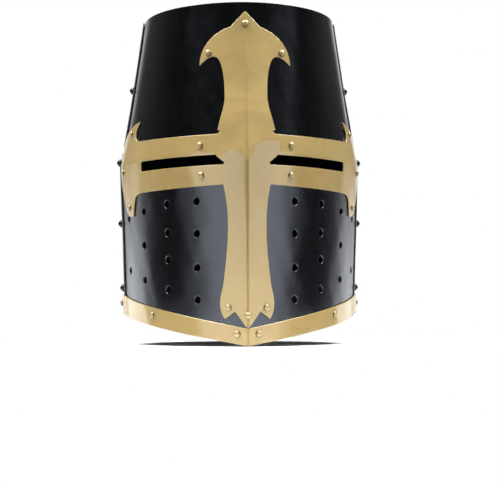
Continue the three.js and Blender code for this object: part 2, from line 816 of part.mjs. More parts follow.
function crownPlate() {
  const top = crownHeight + crownDome;
  const flatShare = crownFlat / crownHalfWidth;
  const edgeShare = 1 - crownRound / crownHalfWidth;
  const middleShare = (flatShare + edgeShare) / 2;
  const domeAt = (share) => {
    const out = (share - flatShare) / (edgeShare - flatShare);
    return crownHeight + crownDome * (1 - out * out);
  };
  const flange = (z, offset) => roundBends.map((bend) => onForm(bend * bendStep, z, offset));
  const inside = -gap - steel;
  const shares = [flatShare, middleShare, edgeShare];
  const upper = shares.map((share) => crownRing(share, domeAt(share)));
  const lower = shares.reverse().map((share) => crownRing(share, domeAt(share) - steel));
  return loftRings([
    [new THREE.Vector3(0, crownMiddle, top)],
    ...upper,
    flange(crownHeight - crownRound, -gap),
    flange(crownHeight - crownFlange, -gap),
    flange(crownHeight - crownFlange, inside),
    flange(crownHeight - crownRound - steel, inside),
    ...lower,
    [new THREE.Vector3(0, crownMiddle, top - steel)],
  ]);
}
addMesh('crown_plate', crownPlate(), black);

// Liner: a head band, tongues that rise to the crown, and the lace in the tunnels at their tips
const linerEnd = halfRound - linerSplit / 2;
addSheet('liner_band', hide, {
  loops: [
    [[-linerEnd, linerBottom], [linerEnd, linerBottom], [linerEnd, linerTop], [-linerEnd, linerTop]],
    ...rivetHoles('liner_band', -linerEnd, linerEnd),
  ],
  levels: bellLevels,
  offset: () => -gap - leather,
  thickness: leather,
});

// A tongue rises from inside the head band, bends in over the head and ends in a rolled tunnel.
// Its path runs in the plane between the wall and the middle: each step says how much of the way
// from the middle to the wall is left, how far it has come in besides, and how high it is.
const tongueRoom = (halfRound + halfRound) / tongueCount;
const peenReach = brassShank + peenGrowth + tongueClear;
const hookStretch = halfRound / arcTable(hookRivetHeight)[arcSteps];
const hookAlong = fromKeel(hookRivetShares[0] * barHook, hookRivetHeight);
const tongueSpread = (hookAlong - peenReach * hookStretch) * 2;
const tongueOffset = -gap - leather - gap;
const hemRadius = lace + gap + gap;
function tonguePath(skin) {
  const inset = skin ? thong : 0;
  const steps = [{ left: 1, inset, z: tongueFoot }, { left: 1, inset, z: linerTop }];
  for (let i = 1; i <= tongueSteps; i++) {
    const turn = (tongueBend * i) / tongueSteps;
    steps.push({
      left: Math.cos(turn),
      inset: inset * Math.cos(turn),
      z: linerTop + (tongueRise - inset) * Math.sin(turn),
    });
  }
  const tip = steps[steps.length - 1];
  const outerZ = linerTop + tongueRise * Math.sin(tongueBend);
  const hemZ = outerZ - thong - hemRadius;
  const radius = hemRadius + thong - inset;
  for (let i = 1; i <= hemSteps; i++) {
    const turn = (hemTurn * i) / hemSteps;
    steps.push({
      left: tip.left,
      inset: hemInset + radius * Math.sin(turn),
      z: hemZ + radius * Math.cos(turn),
    });
  }
  return steps;
}

function tongue(middleAlong) {
  const skins = [tonguePath(false), tonguePath(true)];
  const last = skins[0].length - 1;
  const triangles = [];
  for (let i = 0; i < last; i++) {
    for (let j = 0; j < tongueColumns; j++) {
      const [a, b, c, d] = [[j, i], [j + 1, i], [j + 1, i + 1], [j, i + 1]];
      triangles.push([a, b, c], [a, c, d]);
    }
  }
  return solidFromFlats(triangles, ([column, row], isOuter) => {
    const step = skins[isOuter ? 0 : 1][row];
    const narrowing = 1 - tongueTaper * (1 - step.left);
    const across = (column / tongueColumns - 1 / 2) * tongueSpread * narrowing;
    const wallZ = Math.min(step.z, linerTop);
    const wall = onForm(middleAlong + across, wallZ, tongueOffset);
    const middle = new THREE.Vector3(0, crownMiddle, wallZ);
    const length = wall.distanceTo(middle);
    const place = middle.lerp(wall, step.left - step.inset / length);
    return place.setZ(step.z);
  });
}
for (let i = 0; i < tongueCount; i++) {
  const along = i * tongueRoom;
  addMesh(`liner_tongue_${i + 1}`, tongue(along), hide);
}

// Lace: a ring through the tunnels
function laceRing() {
  const left = Math.cos(tongueBend);
  const hemZ = linerTop + tongueRise * Math.sin(tongueBend) - thong - hemRadius;
  const points = [];
  const count = laceSteps;
  for (let i = 0; i < count; i++) {
    const along = ((i + i) * halfRound) / count - halfRound;
    const wall = onForm(along, linerTop, tongueOffset);
    const middle = new THREE.Vector3(0, crownMiddle, linerTop);
    const length = wall.distanceTo(middle);
    points.push(middle.lerp(wall, left - hemInset / length).setZ(hemZ));
  }
  const index = [];
  const places = [];
  for (let i = 0; i < count; i++) {
    const before = points[(i + count - 1) % count];
    const after = points[(i + 1) % count];
    const along = after.clone().sub(before).normalize();
    const across = new THREE.Vector3(along.y, -along.x, 0);
    for (let j = 0; j < laceSides; j++) {
      const turn = (Math.PI * 2 * j) / laceSides;
      const place = points[i].clone().addScaledVector(across, lace * Math.cos(turn));
      places.push(...place.setZ(place.z + lace * Math.sin(turn)).toArray());
      const next = ((i + 1) % count) * laceSides;
      const side = (j + 1) % laceSides;
      const [a, b, c, d] = [i * laceSides + j, i * laceSides + side, next + j, next + side];
      index.push(a, c, d, a, d, b);
    }
  }
  const geometry = new THREE.BufferGeometry();
  geometry.setAttribute('position', new THREE.Float32BufferAttribute(places, 3));
  geometry.setIndex(index);
  geometry.computeVertexNormals();
  return geometry;
}
addMesh('liner_lace', laceRing(), hide);

// Rivets, each turned on the axis that stands square to the sheet
function rivetProfile(entry) {
  const [shank, head, dome] = entry.isBlack
    ? [blackShank, blackHead, blackDome]
    : [brassShank, brassHead, brassDome];
  const peen = shank + peenGrowth;
  const profile = [
    [0, entry.inner - peenHeight],
    [peen * peenShare, entry.inner - peenHeight],
    [peen, entry.inner],
    [shank, entry.inner],
    [shank, entry.outer],
    [head, entry.outer],
  ];
  for (let i = 1; i < domeSteps; i++) {
    const turn = (Math.PI * i) / (domeSteps + domeSteps);
    profile.push([head * Math.cos(turn), entry.outer + dome * Math.sin(turn)]);
  }
  profile.push([0, entry.outer + dome]);
  return profile.map(([radius, height]) => new THREE.Vector2(radius, height));
}

for (const entry of rivets) {
  const geometry = new THREE.LatheGeometry(rivetProfile(entry), rivetSegments);
  const mesh = addMesh(entry.name, geometry, entry.isBlack ? black : yellow);
  const foot = onForm(entry.along, entry.z, 0);
  const axis = onForm(entry.along, entry.z, 1).sub(foot).normalize();
  mesh.position.copy(foot);
  mesh.quaternion.setFromUnitVectors(new THREE.Vector3(0, 1, 0), axis);
}

// The helmet stands on its lowest point, with the origin under the middle of its box
const box = new THREE.Box3().setFromObject(helmet, true);
helmet.position.set(0, -(box.min.y + box.max.y) / 2, -box.min.z);

export default helmet;
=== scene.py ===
# Great helm: black steel plates, brass trim and a leather liner, in metres in the frame of the CAD.
# Every sheet is drawn flat and rolled onto the form of the helmet, as the CAD makes it, but with a
# fine mesh, rounded edges and soft joggles. Sizes are written in millimetres times mm.
import math

import bmesh
import bpy
import numpy as np
from mathutils import Matrix, Vector
from mathutils.geometry import delaunay_2d_cdt


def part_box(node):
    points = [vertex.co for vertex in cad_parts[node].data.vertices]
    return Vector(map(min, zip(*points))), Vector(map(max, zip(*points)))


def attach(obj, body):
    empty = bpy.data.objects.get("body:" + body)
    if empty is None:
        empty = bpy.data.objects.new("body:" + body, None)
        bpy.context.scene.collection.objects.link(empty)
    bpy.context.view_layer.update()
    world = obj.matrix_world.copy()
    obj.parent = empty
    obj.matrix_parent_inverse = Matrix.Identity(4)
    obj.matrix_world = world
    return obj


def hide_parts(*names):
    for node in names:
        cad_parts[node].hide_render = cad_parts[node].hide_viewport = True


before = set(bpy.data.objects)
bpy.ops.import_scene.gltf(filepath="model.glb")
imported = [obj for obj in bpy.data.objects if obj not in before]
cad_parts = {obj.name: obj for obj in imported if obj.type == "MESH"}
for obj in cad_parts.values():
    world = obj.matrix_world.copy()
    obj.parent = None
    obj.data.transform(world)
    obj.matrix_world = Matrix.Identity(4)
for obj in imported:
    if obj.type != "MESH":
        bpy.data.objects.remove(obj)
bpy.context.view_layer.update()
mm = 0.001

# Form of the helmet: heights of the waist and the crown, and its sizes at the rim, the waist and the crown
WAIST = 152 * mm
CROWN = 277 * mm
HALF_WIDTH = (95.8 * mm, 101 * mm, 80.7 * mm)
REACH = (127.6 * mm, 126.3 * mm, 100.5 * mm)
BACK_REACH = (120.5 * mm, 120.5 * mm, 95.5 * mm)
KEEL = (45 * mm, 39 * mm, 0.0)
BELL = 0.9 * mm
KEEL_ROUND = 0.003  # rounding of the keel, as a share of the half width
LEAN_BLEND = 8 * mm
RIM_RISE = 25.5 * mm
STEEL = 1.2 * mm
BRASS = 1 * mm
LEATHER = 2.5 * mm
THONG = 2 * mm
GAP = 0.3 * mm
JOGGLE = 6 * mm
LAYER = STEEL + GAP
SIDES = (("left", 1), ("right", -1))

# Each kind of sheet: its thickness, the rounding of its edges and the step of its mesh along the sheet
STEEL_SHEET = (STEEL, 0.42 * mm, 4 * mm)
BRASS_SHEET = (BRASS, 0.36 * mm, 4 * mm)
BAR_SHEET = (BRASS, 0.36 * mm, 3 * mm)
LEATHER_SHEET = (LEATHER, 0.9 * mm, 4 * mm)

# Plates
SLIT_BOTTOM = WAIST - 9.1 * mm
SLIT_TOP = SLIT_BOTTOM + 9 * mm
SLIT_END = 111.2 * mm
NASAL = 18.5 * mm
LAP_TOP = SLIT_TOP + 12.6 * mm
LAP_START = 161 * mm
LAP_WIDTH = 14 * mm
LAP_CORNER = 7 * mm
LAP_EDGE = LAP_TOP + GAP
SET_IN = LAP_START - GAP - JOGGLE
EAR_CORNER = 4 * mm
FRONT_END = LAP_START + LAP_WIDTH
UPPER_CORNER = 1.5 * mm
LOWER_CORNER = 1.2 * mm
PLATE_RISE = 5 * mm  # step of the mesh up a plate
BREATH = 3.1 * mm
# Breaths: a column as a share of the way to the lap, then their heights as shares of the slit's
BREATH_SHARES = (
    (0.281, 0.807, 0.626, 0.435, 0.2555), (0.478, 0.802, 0.639, 0.485, 0.3155),
    (0.677, 0.772, 0.576, 0.375), (0.855, 0.739, 0.4345),
)

# Crown
CROWN_DOME = 4 * mm
CROWN_FLANGE = 10 * mm
CROWN_FLAT = 25 * mm
CROWN_ROUND = 2.5 * mm
FLANGE_MIDDLE = 6 * mm
FLANGE_EDGE = 0.4 * mm

# Brass
TRIM_HEIGHT = 13.8 * mm
TRIM_GROWTH = 2.8 * mm
TRIM_END = LAP_START + 12.5 * mm
BAR_TOP = CROWN - 8.3 * mm
BAR_BOTTOM = TRIM_HEIGHT + GAP
BAR_HOOK = 38.7 * mm
BAR_RAMP = 48 * mm
BAND_INNER = 13.5 * mm
BAND_TOP = SLIT_TOP + 18.6 * mm
BAND_BOTTOM = SLIT_BOTTOM - 16.2 * mm
HORN_TOP = BAND_TOP + 15.8 * mm
HORN_BOTTOM = BAND_BOTTOM - 19.8 * mm
BAND_REACH = LAP_START - 5.5 * mm
SLIT_SHOW = 0.5 * mm
SLIT_END_SHOW = 2 * mm
BRASS_STEP = 1.6 * mm  # of the points along a curved outline
BRASS_RISE = 4 * mm
TRIM_RISE = 3.5 * mm
TRIM_STEP = 2.5 * mm

# The CAD centres its box on the origin, which moves the form along Y
crown_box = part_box("crown_plate")
SHIFT_Y = (crown_box[0][1] + crown_box[1][1]) / 2 - (BACK_REACH[2] - REACH[2]) / 2

scene = bpy.context.scene
scene.view_settings.view_transform = "Standard"


def linked(name, data):
    """A new object in the scene."""
    thing = bpy.data.objects.new(name, data)
    scene.collection.objects.link(thing)
    return thing


class NodeMaker:
    """Short calls for building a node tree."""

    def __init__(self, tree):
        self.tree = tree
        tree.nodes.clear()

    def add(self, kind, *numbered, **named):
        """A node, of the shader kind if no other is named. Names in small letters are its settings."""
        node = self.tree.nodes.new(kind if "Node" in kind else "ShaderNode" + kind)
        for key in [key for key in named if key.islower()]:
            setattr(node, key, named.pop(key))
        for key, value in (*enumerate(numbered), *named.items()):
            self.put(node, key, value)
        return node

    def put(self, node, key, value):
        """Set or link an input, given by its number or its name."""
        socket = node.inputs[key] if isinstance(key, int) else next(
            item for item in node.inputs if item.name == key.replace("_", " ") and item.enabled
        )
        if isinstance(value, bpy.types.NodeSocket):
            self.tree.links.new(value, socket)
        elif isinstance(value, bpy.types.Node):
            self.tree.links.new(value.outputs[0], socket)
        else:
            socket.default_value = value

    def math(self, operation, result, *others):
        """An operation on one number, or on several taken from the left."""
        for values in [(other,) for other in others] or [()]:
            result = self.add("Math", result, *values, operation=operation).outputs[0]
        return result

    def vector(self, operation, *values, **named):
        return self.add("VectorMath", *values, operation=operation, **named).outputs

    def attribute(self, name):
        return self.add("Attribute", attribute_name=name).outputs["Fac"]

    def noise(self, scale, detail, roughness, where=None):
        spot = where or self.where
        return self.add("TexNoise", Vector=spot, Scale=scale, Detail=detail, Roughness=roughness).outputs[0]

    def between(self, value, *ends):
        """A smooth change of a value between two numbers to 0 and 1, or to two others."""
        return self.add("MapRange", value, *ends, interpolation_type="SMOOTHSTEP").outputs[0]

    def blended(self, share, first, second):
        node = self.add("Mix", share, data_type="RGBA")
        self.put(node, 6, first)
        self.put(node, 7, second)
        return node.outputs[2]

    def bumped(self, height, strength, distance, **under):
        return self.add("Bump", Height=height, Strength=strength, Distance=distance, **under).outputs[0]

    def surface(self, **inputs):
        self.add("OutputMaterial", self.add("BsdfPrincipled", **inputs))


def finish(name, recipe, *values):
    """A material: its recipe gets a node maker, which knows the place on the object, and its own values."""
    material = bpy.data.materials.new(name)
    material.use_nodes = True
    make = NodeMaker(material.node_tree)
    make.where = make.add("TexCoord").outputs["Object"]
    recipe(make, *values)
    return material


# Camera, floor, lamps and the studio round them
FLOOR_REACH = 1.2
FLOOR_Z = -0.0005
FLOOR_FADE = (0.17, 0.38)
LAMP_MIDDLE = Vector((0, 0, 0.14))
LAMP_DISTANCE = 1.4
LAMP_CLIMB = math.radians(58)
LAMPS = (("lamp_left", -84, 34.0), ("lamp_front", 0, 2.5), ("lamp_right", 84, 34.0))


def pale_floor(make):
    color = make.blended(make.noise(3, 3, 0.5), (0.86, 0.86, 0.86, 1), (0.9, 0.9, 0.9, 1))
    fading = make.between(make.vector("LENGTH", make.where)["Value"], *FLOOR_FADE)
    solid = make.add("BsdfDiffuse", color)
    clear = make.add("BsdfTransparent")
    edge = make.add("MixShader", fading, solid, clear)
    make.add("OutputMaterial", edge)


def camera_and_lamps():
    lens = bpy.data.cameras.new("camera")
    lens.sensor_fit, lens.sensor_width, lens.lens = "HORIZONTAL", 36, 107.18
    lens.clip_start, lens.clip_end = 0.05, 50
    camera = scene.camera = linked("camera", lens)
    camera.location = (-0.0662, SHIFT_Y - 1.2923, 0.0258)
    heading, pitch, roll = (math.radians(turn) for turn in (3.3434, 2.7339, -0.2391))
    turns = ((-heading, "Z"), (math.pi / 2 + pitch, "X"), (roll, "Z"))
    first, second, third = (Matrix.Rotation(turn, 3, axis) for turn, axis in turns)
    camera.rotation_euler = (first @ second @ third).to_euler()
    for name, angle, power in LAMPS:
        light = bpy.data.lights.new(name, "AREA")
        light.shape, light.size, light.size_y, light.energy = "RECTANGLE", 0.9, 0.6, power
        lamp = linked(name, light)
        turn, level_reach = math.radians(angle), math.cos(LAMP_CLIMB)
        from_middle = LAMP_DISTANCE * Vector((
            level_reach * math.sin(turn), -level_reach * math.cos(turn), math.sin(LAMP_CLIMB),
        ))
        lamp.location = LAMP_MIDDLE + from_middle
        lamp.rotation_euler = (-from_middle).to_track_quat("-Z", "Y").to_euler()


def floor():
    mesh = bpy.data.meshes.new("floor")
    corners = [(FLOOR_REACH * x, FLOOR_REACH * y, FLOOR_Z) for x, y in ((-1, -1), (1, -1), (1, 1), (-1, 1))]
    mesh.from_pydata(corners, [], [(0, 1, 2, 3)])
    mesh.materials.append(finish("pale_floor", pale_floor))
    linked("floor", mesh)


def studio_world():
    """White behind, a soft box low on each side of the front, dim between them and a little light above."""
    world = scene.world = bpy.data.worlds.new("studio")
    world.use_nodes = True
    make = NodeMaker(world.node_tree)
    between, math_of = make.between, make.math
    way = make.add("SeparateXYZ", make.add("TexCoord").outputs["Generated"]).outputs
    # Degrees round from the front, on either side, and degrees above the level
    turn = math_of("ARCTAN2", math_of("ABSOLUTE", way["X"]), math_of("MULTIPLY", way["Y"], -1.0))
    turn = math_of("DEGREES", turn)
    rise = math_of("DEGREES", math_of("ARCSINE", way["Z"]))
    right_side = between(way["X"], -0.1, 0.1, 0.0, 2.5)
    turn_in_box = math_of("SUBTRACT", turn, right_side)
    box = math_of(
        "MULTIPLY", between(turn, 33, 41), between(turn_in_box, 70, 79, 1.0, 0.0),
        between(rise, -28, -18), between(math_of("SUBTRACT", rise, right_side), 13, 16, 1.0, 0.0), 1.32,
    )
    behind_low = math_of(
        "MULTIPLY", between(turn_in_box, 115, 124), between(turn, 144, 156, 1.0, 0.3),
        between(rise, -1, 6, 1.0, 0.0), between(way["X"], -0.1, 0.1, 2.3, 1.9),
    )
    behind = between(turn, 148, 166)
    overhead = between(rise, 50, 70, 0.0, 0.6)
    dim = between(turn, 85, 125, 0.02, 0.12)
    strength = math_of("MAXIMUM", box, behind_low, behind, overhead, dim)
    round_about, white = (make.add("Background", (1, 1, 1, 1), light) for light in (strength, 1.0))
    path = make.add("LightPath").outputs
    mirrored = math_of("MAXIMUM", path["Is Glossy Ray"], path["Is Transmission Ray"])
    shows_white = math_of("MAXIMUM", path["Is Camera Ray"], math_of("MULTIPLY", mirrored, behind))
    chosen = make.add("MixShader", shows_white, round_about, white)
    make.add("OutputWorld", chosen)


camera_and_lamps()
floor()
studio_world()


# Finishes
def blackened_steel(make, dimples, roughness, gloss):
    """Black enamel: faint grain and clouding, dimples where it is hammered, and worn cut edges."""
    patch = make.between(make.noise(14, 4, 0.6), 0.35, 0.7)
    swirl = make.noise(90, 3, 0.6)
    edge = make.attribute("edge")  # 1 on a cut edge and -1 on the inner face
    scuff = make.add(
        "Math", edge, make.between(swirl, 0.3, 0.55, 0.35, 1.0), operation="MULTIPLY", use_clamp=True,
    )
    enamel = make.blended(patch, (0.0012, 0.0012, 0.0015, 1), (0.0025, 0.0026, 0.0032, 1))
    shine = make.between(swirl, 0.25, 0.8, roughness - 0.02, roughness + 0.04)
    low = make.bumped(make.noise(1050, 2, 0.55), make.between(edge, -0.9, -0.1), dimples)
    make.surface(
        Base_Color=make.blended(scuff, enamel, (0.2, 0.215, 0.25, 1)), IOR=gloss,
        Specular_Tint=(0.8, 0.87, 1.0, 1),
        Roughness=make.math("ADD", shine, make.between(edge, -0.9, -0.1, 0.05, 0.0)),
        Normal=make.bumped(make.noise(2400, 2, 0.6), 0.4, 0.00001, Normal=low),
    )


def dull_black(make):
    """The unpolished inside of the plates: soot black, with a rough grain."""
    cloudy = make.noise(40, 4, 0.6)
    patch = make.between(cloudy, 0.35, 0.7)
    make.surface(
        Base_Color=make.blended(patch, (0.002, 0.002, 0.0022, 1), (0.006, 0.006, 0.0065, 1)),
        IOR=1.25, Roughness=make.between(cloudy, 0.3, 0.7, 0.55, 0.7),
        Normal=make.bumped(make.noise(1500, 2, 0.6), 0.6, 0.0001),
    )


def polished_brass(make):
    """Sheet brass: a broad glow from fine upright brushing, under a thin clear polish, faintly clouded, and
    painted shade round the foot of each rivet head.
    """
    stretched = make.add("Mapping", Vector=make.where, Scale=(1.0, 1.0, 0.06))
    brushed = make.noise(1300, 2, 0.6, stretched.outputs[0])
    patch = make.between(make.noise(22, 3, 0.55), 0.3, 0.75)
    spots = make.between(make.noise(420, 3, 0.65), 0.66, 0.8)
    color = make.blended(patch, (0.495, 0.357, 0.128, 1), (0.453, 0.318, 0.11, 1))
    color = make.blended(spots, color, (0.36, 0.24, 0.09, 1))
    low = make.bumped(make.noise(36, 2, 0.45), 1.0, 0.0011)
    # Rivet heads turn dark brown where their mark is set: painted shade round the foot of each head
    make.surface(
        Base_Color=make.blended(make.attribute("head_rim_shade"), color, (0.08, 0.05, 0.02, 1)), Metallic=0.4,
        Roughness=make.between(brushed, 0.25, 0.75, 0.52, 0.62),
        Normal=make.bumped(brushed, 0.3, 0.00002, Normal=low),
        Coat_Weight=1.0, Coat_Roughness=0.04, Coat_IOR=1.85,
    )


def oiled_leather(make, light, dark):
    """Leather or waxed thread: cloudy colour, creases and a fine pebbled grain."""
    creases = make.noise(160, 5, 0.65)
    pebbles = make.add("TexVoronoi", feature="SMOOTH_F1", Vector=make.where, Scale=620)
    low = make.bumped(creases, 0.5, 0.0005)
    make.surface(
        Base_Color=make.blended(make.between(make.noise(30, 4, 0.6), 0.35, 0.7), light, dark),
        Roughness=make.between(creases, 0.3, 0.7, 0.5, 0.72),
        Normal=make.bumped(pebbles, 0.6, 0.00025, Normal=low),
    )


satin_steel = finish("satin_black_steel", blackened_steel, 0.00001, 0.18, 1.6)
dimpled_steel = finish("dimpled_black_steel", blackened_steel, 0.00015, 0.13, 2.05)
dull_inside = finish("dull_black_inside", dull_black)
brass = finish("polished_brass", polished_brass)
hide = finish("oiled_leather", oiled_leather, (0.16, 0.085, 0.04, 1), (0.09, 0.045, 0.02, 1))
cord = finish("leather_cord", oiled_leather, (0.12, 0.06, 0.03, 1), (0.07, 0.035, 0.018, 1))
waxed_thread = finish("waxed_thread", oiled_leather, (0.5, 0.42, 0.28, 1), (0.36, 0.29, 0.19, 1))


def unit(vectors):
    return vectors / np.linalg.norm(vectors, axis=-1, keepdims=True)


# The form
def form_at(z):
    upper = z >= WAIST
    upper_share = (z - WAIST) / (CROWN - WAIST)
    share = np.where(upper, upper_share, z / WAIST)
    hollow = np.where(upper, BELL * np.sin(math.pi * np.clip(upper_share, 0, 1)), 0)

    def mix(sizes):
        low, high = (np.where(upper, sizes[i + 1], sizes[i]) for i in (0, 1))
        return low + (high - low) * share

    return mix(HALF_WIDTH) - hollow, mix(REACH) - hollow, mix(BACK_REACH) - hollow, mix(KEEL)


def section(turn, z):
    """Points on the form: a turn of 0 is the keel, a quarter turn the side and a half turn the back."""
    width, reach, back, keel = form_at(z)
    across, along = np.sin(turn), np.cos(turn)
    sharpness = np.sqrt(across ** 2 + KEEL_ROUND ** 2)
    front = -((reach - keel) * along + keel * (1 - sharpness))
    y = np.where(along > 0, front, -back * along)
    return np.stack([width * across, y, z + 0 * turn], axis=-1)


def outward(turn, z):
    """The outward direction in plan, longer at the keel so that both flats keep their thickness."""
    width, reach, back, keel = form_at(z)
    across, along = np.sin(turn), np.cos(turn)

    def plan(crease):
        front = (reach - keel) * across + keel * along * crease
        slope = np.where(along > 0, front, back * across)
        return unit(np.stack([slope, -width * along, 0 * slope], axis=-1))

    rounded = plan(across / np.sqrt(across ** 2 + KEEL_ROUND ** 2))
    flat = plan(np.where(across < 0, -1.0, 1.0))
    mitre = np.where(along > 0, 1 / (rounded * flat).sum(axis=-1), 1.0)
    return rounded * mitre[..., None]


def lean(turn, z):
    """How much the surface leans in for each unit of height."""
    plan = unit(outward(turn, z))

    def between(low, high):
        step = section(turn, high) - section(turn, low)
        return -(step * plan).sum(axis=-1) / (high - low)

    share = np.clip((z - WAIST + LEAN_BLEND) / (2 * LEAN_BLEND), 0, 1)
    lower, upper = between(0.0, WAIST), between(WAIST, CROWN - CROWN_FLANGE)
    return lower + (upper - lower) * share


ARC_TURNS = np.linspace(0, math.pi, 721)


def arc_lengths(z):
    steps = np.linalg.norm(np.diff(section(ARC_TURNS, z), axis=0), axis=1)
    return np.concatenate([[0], np.cumsum(steps)])


WAIST_ARC = arc_lengths(WAIST)
HALF_ROUND = WAIST_ARC[-1]
BACK_START = 2 * HALF_ROUND - LAP_START


def turn_at(along):
    """The turn at a sheet coordinate, which is the length round the waist from the keel."""
    side = np.sign(along)
    length = np.abs(along)
    past = length > HALF_ROUND
    turn = np.interp(np.where(past, 2 * HALF_ROUND - length, length), WAIST_ARC, ARC_TURNS)
    return side * np.where(past, 2 * math.pi - turn, turn)


def from_keel(length, z):
    """The sheet coordinate of a point at a length from the keel, measured at its own height."""
    turn = np.interp(abs(length), arc_lengths(z), ARC_TURNS)
    return math.copysign(float(np.interp(turn, ARC_TURNS, WAIST_ARC)), length)


def on_form(along, z, offset):
    turn = turn_at(along)
    tilt = lean(turn, z)
    direction = outward(turn, z)
    direction[..., 2] = tilt
    direction /= np.sqrt(1 + tilt ** 2)[..., None]
    return section(turn, z) + direction * np.asarray(offset)[..., None]


# Waves in the beaten plates: times round the helmet, radians up a metre, where it starts, and its size in mm
BEATEN_WAVES = (
    (9, 61, 0.3, 0.055), (14, -83, 1.9, 0.05), (19, 37, 4.1, 0.04), (23, 112, 2.7, 0.032),
    (29, -141, 5.2, 0.025), (37, 170, 0.9, 0.018), (43, 96, 3.3, 0.014), (11, -27, 5.9, 0.05),
)
CALM_HEIGHT = 60 * mm  # over this height above the slits the waves lose this share
CALMER = 0.45


def beaten(along, z):
    """Faint unevenness of the beaten plates. Everything that lies on them follows it."""
    turn = math.pi * along / HALF_ROUND
    height = sum(size * np.sin(count * turn + rise * z + start) for count, rise, start, size in BEATEN_WAVES)
    return height * mm * (1 - CALMER * np.clip((z - SLIT_TOP) / CALM_HEIGHT, 0, 1))


def place(along, z, offset):
    along, z, offset = np.broadcast_arrays(along, z, offset)
    points = on_form(along, z, offset + beaten(along, z))
    points[..., 1] += SHIFT_Y
    return points


def ramp(value, start, width):
    """From 0 to 1 over a width, easing in and out."""
    share = np.clip((value - start) / width, 0, 1)
    return share * share * (3 - 2 * share)


# Where one sheet climbs over another
def from_front(along):
    return np.minimum(np.abs(along), 2 * HALF_ROUND - np.abs(along))


def cover(along, z):
    side = from_front(along)
    nasal = 1 - ramp(side, NASAL + GAP, JOGGLE)
    ear = ramp(side, SLIT_END - GAP - JOGGLE, JOGGLE)
    return (1 - ramp(z, LAP_EDGE, JOGGLE)) * np.maximum(nasal, ear)


def over_lap(along):
    return 1 - ramp(from_front(along), FRONT_END + GAP, JOGGLE)


def under_lap(along):
    return ramp(from_front(along), SET_IN, JOGGLE)


def upper_front_offset(along, z):
    return -LAYER * cover(along, z) * (1 + under_lap(along))


def upper_back_offset(along, z):
    set_in = cover(along, z)
    return LAYER * (over_lap(along) * (1 - set_in) - set_in)


def lower_back_offset(along, z):
    return LAYER * over_lap(along)


def bar_offset(along, z):
    over = ramp(z, BAND_BOTTOM - GAP - BAR_RAMP, BAR_RAMP) * (1 - ramp(z, BAND_TOP + GAP, BAR_RAMP))
    return LAYER + (BRASS + GAP) * over


def trim_offset(along, z):
    return LAYER + LAYER * under_lap(along)


def level(offset):
    return lambda along, z: offset


def rim_at(along):
    return RIM_RISE * np.minimum(1, np.abs(along) / LAP_START)


def trim_top_at(along):
    return rim_at(along) + TRIM_HEIGHT + TRIM_GROWTH * np.abs(along) / TRIM_END


# Flat blanks: a loop is a list of points, anticlockwise round the blank and clockwise round a hole
def dense(points, step=2.5 * mm):
    """The loop with points added, so that no edge is longer than a step."""
    points = np.asarray(points, float)
    result = []
    for start, end in zip(points, np.roll(points, -1, axis=0)):
        count = max(1, math.ceil(np.linalg.norm(end - start) / step - 1e-6))
        shares = np.arange(count)[:, None] / count
        result.append(start + (end - start) * shares)
    result = np.concatenate(result)
    gaps = np.linalg.norm(result - np.roll(result, 1, axis=0), axis=1)
    return result[gaps > 1e-6]


def spread(low, high, step):
    return np.linspace(low, high, max(2, math.ceil((high - low) / step) + 1))


def soften(points, radius, steps=4):
    """The loop with each sharp corner rounded. A corner that is nearly straight is kept."""
    points = np.asarray(points, float)
    before, after = np.roll(points, 1, axis=0), np.roll(points, -1, axis=0)
    result = []
    for last, corner, following in zip(before, points, after):
        to_last, to_next = last - corner, following - corner
        reach = min(radius, *(0.45 * np.linalg.norm(way) for way in (to_last, to_next)))
        if unit(to_last) @ unit(to_next) < -0.94:
            result.append(corner)
            continue
        start, end = (corner + unit(way) * reach for way in (to_last, to_next))
        for share in np.linspace(0, 1, steps + 1):
            result.append((1 - share) ** 2 * start + 2 * share * (1 - share) * corner + share ** 2 * end)
    return np.array(result)


def mirrored(half):
    """A whole outline from its right half, which runs from the bottom to the top."""
    half = np.asarray(half, float)
    left = half[half[:, 0] > 1e-7] * (-1, 1)
    return np.concatenate([half, left[::-1]])


def corner_directions(loop):
    """Directions out of the sheet at each corner, so long that an inset keeps its width."""
    before = unit(loop - np.roll(loop, 1, axis=0))
    first = np.stack([before[:, 1], -before[:, 0]], axis=1)
    second = np.roll(first, -1, axis=0)
    length = 1 + (first * second).sum(axis=1)
    return (first + second) / np.maximum(length, 0.6)[:, None]


def is_inside(points, loops):
    along, z = points.T
    crossings = np.zeros(len(points), int)
    for loop in loops:
        for (start, low), (end, high) in zip(loop, np.roll(loop, -1, axis=0)):
            if low != high:
                reach = start + (end - start) * (z - low) / (high - low)
                crossings += ((low > z) != (high > z)) & (along < reach)
    return crossings % 2 == 1


def clear_of(points, loops, distance):
    """Which points keep a distance from every corner of the loops."""
    clear = np.ones(len(points), bool)
    for corner in np.concatenate(loops):
        clear &= ((points - corner) ** 2).sum(axis=1) > distance ** 2
    return clear


def grid_lines(low, high, step, fine=()):
    """Lines across a blank at an even step, with closer ones between the ends of each fine stretch."""
    lines = list(spread(low, high, step))
    for start, end, count in fine:
        if end < low or start > high:
            continue
        lines = [line for line in lines if line < start - step / 4 or line > end + step / 4]
        lines += list(np.linspace(start, end, count))
    return np.unique(np.round([line for line in lines if low <= line <= high], 7))


# The bend hammered over the waist wanders: places across the bar, and how far above the waist it is there
DRIFT_PLACES = np.array([-32, -21, -15, -7, -2, 0, 1.5, 7, 14, 26, 34]) * mm
DRIFT = np.array([0, -2.5, 2, 2.5, -3, -6, -3, 7.5, 9, 10, 10]) * mm
DRIFT_FADE = 12 * mm


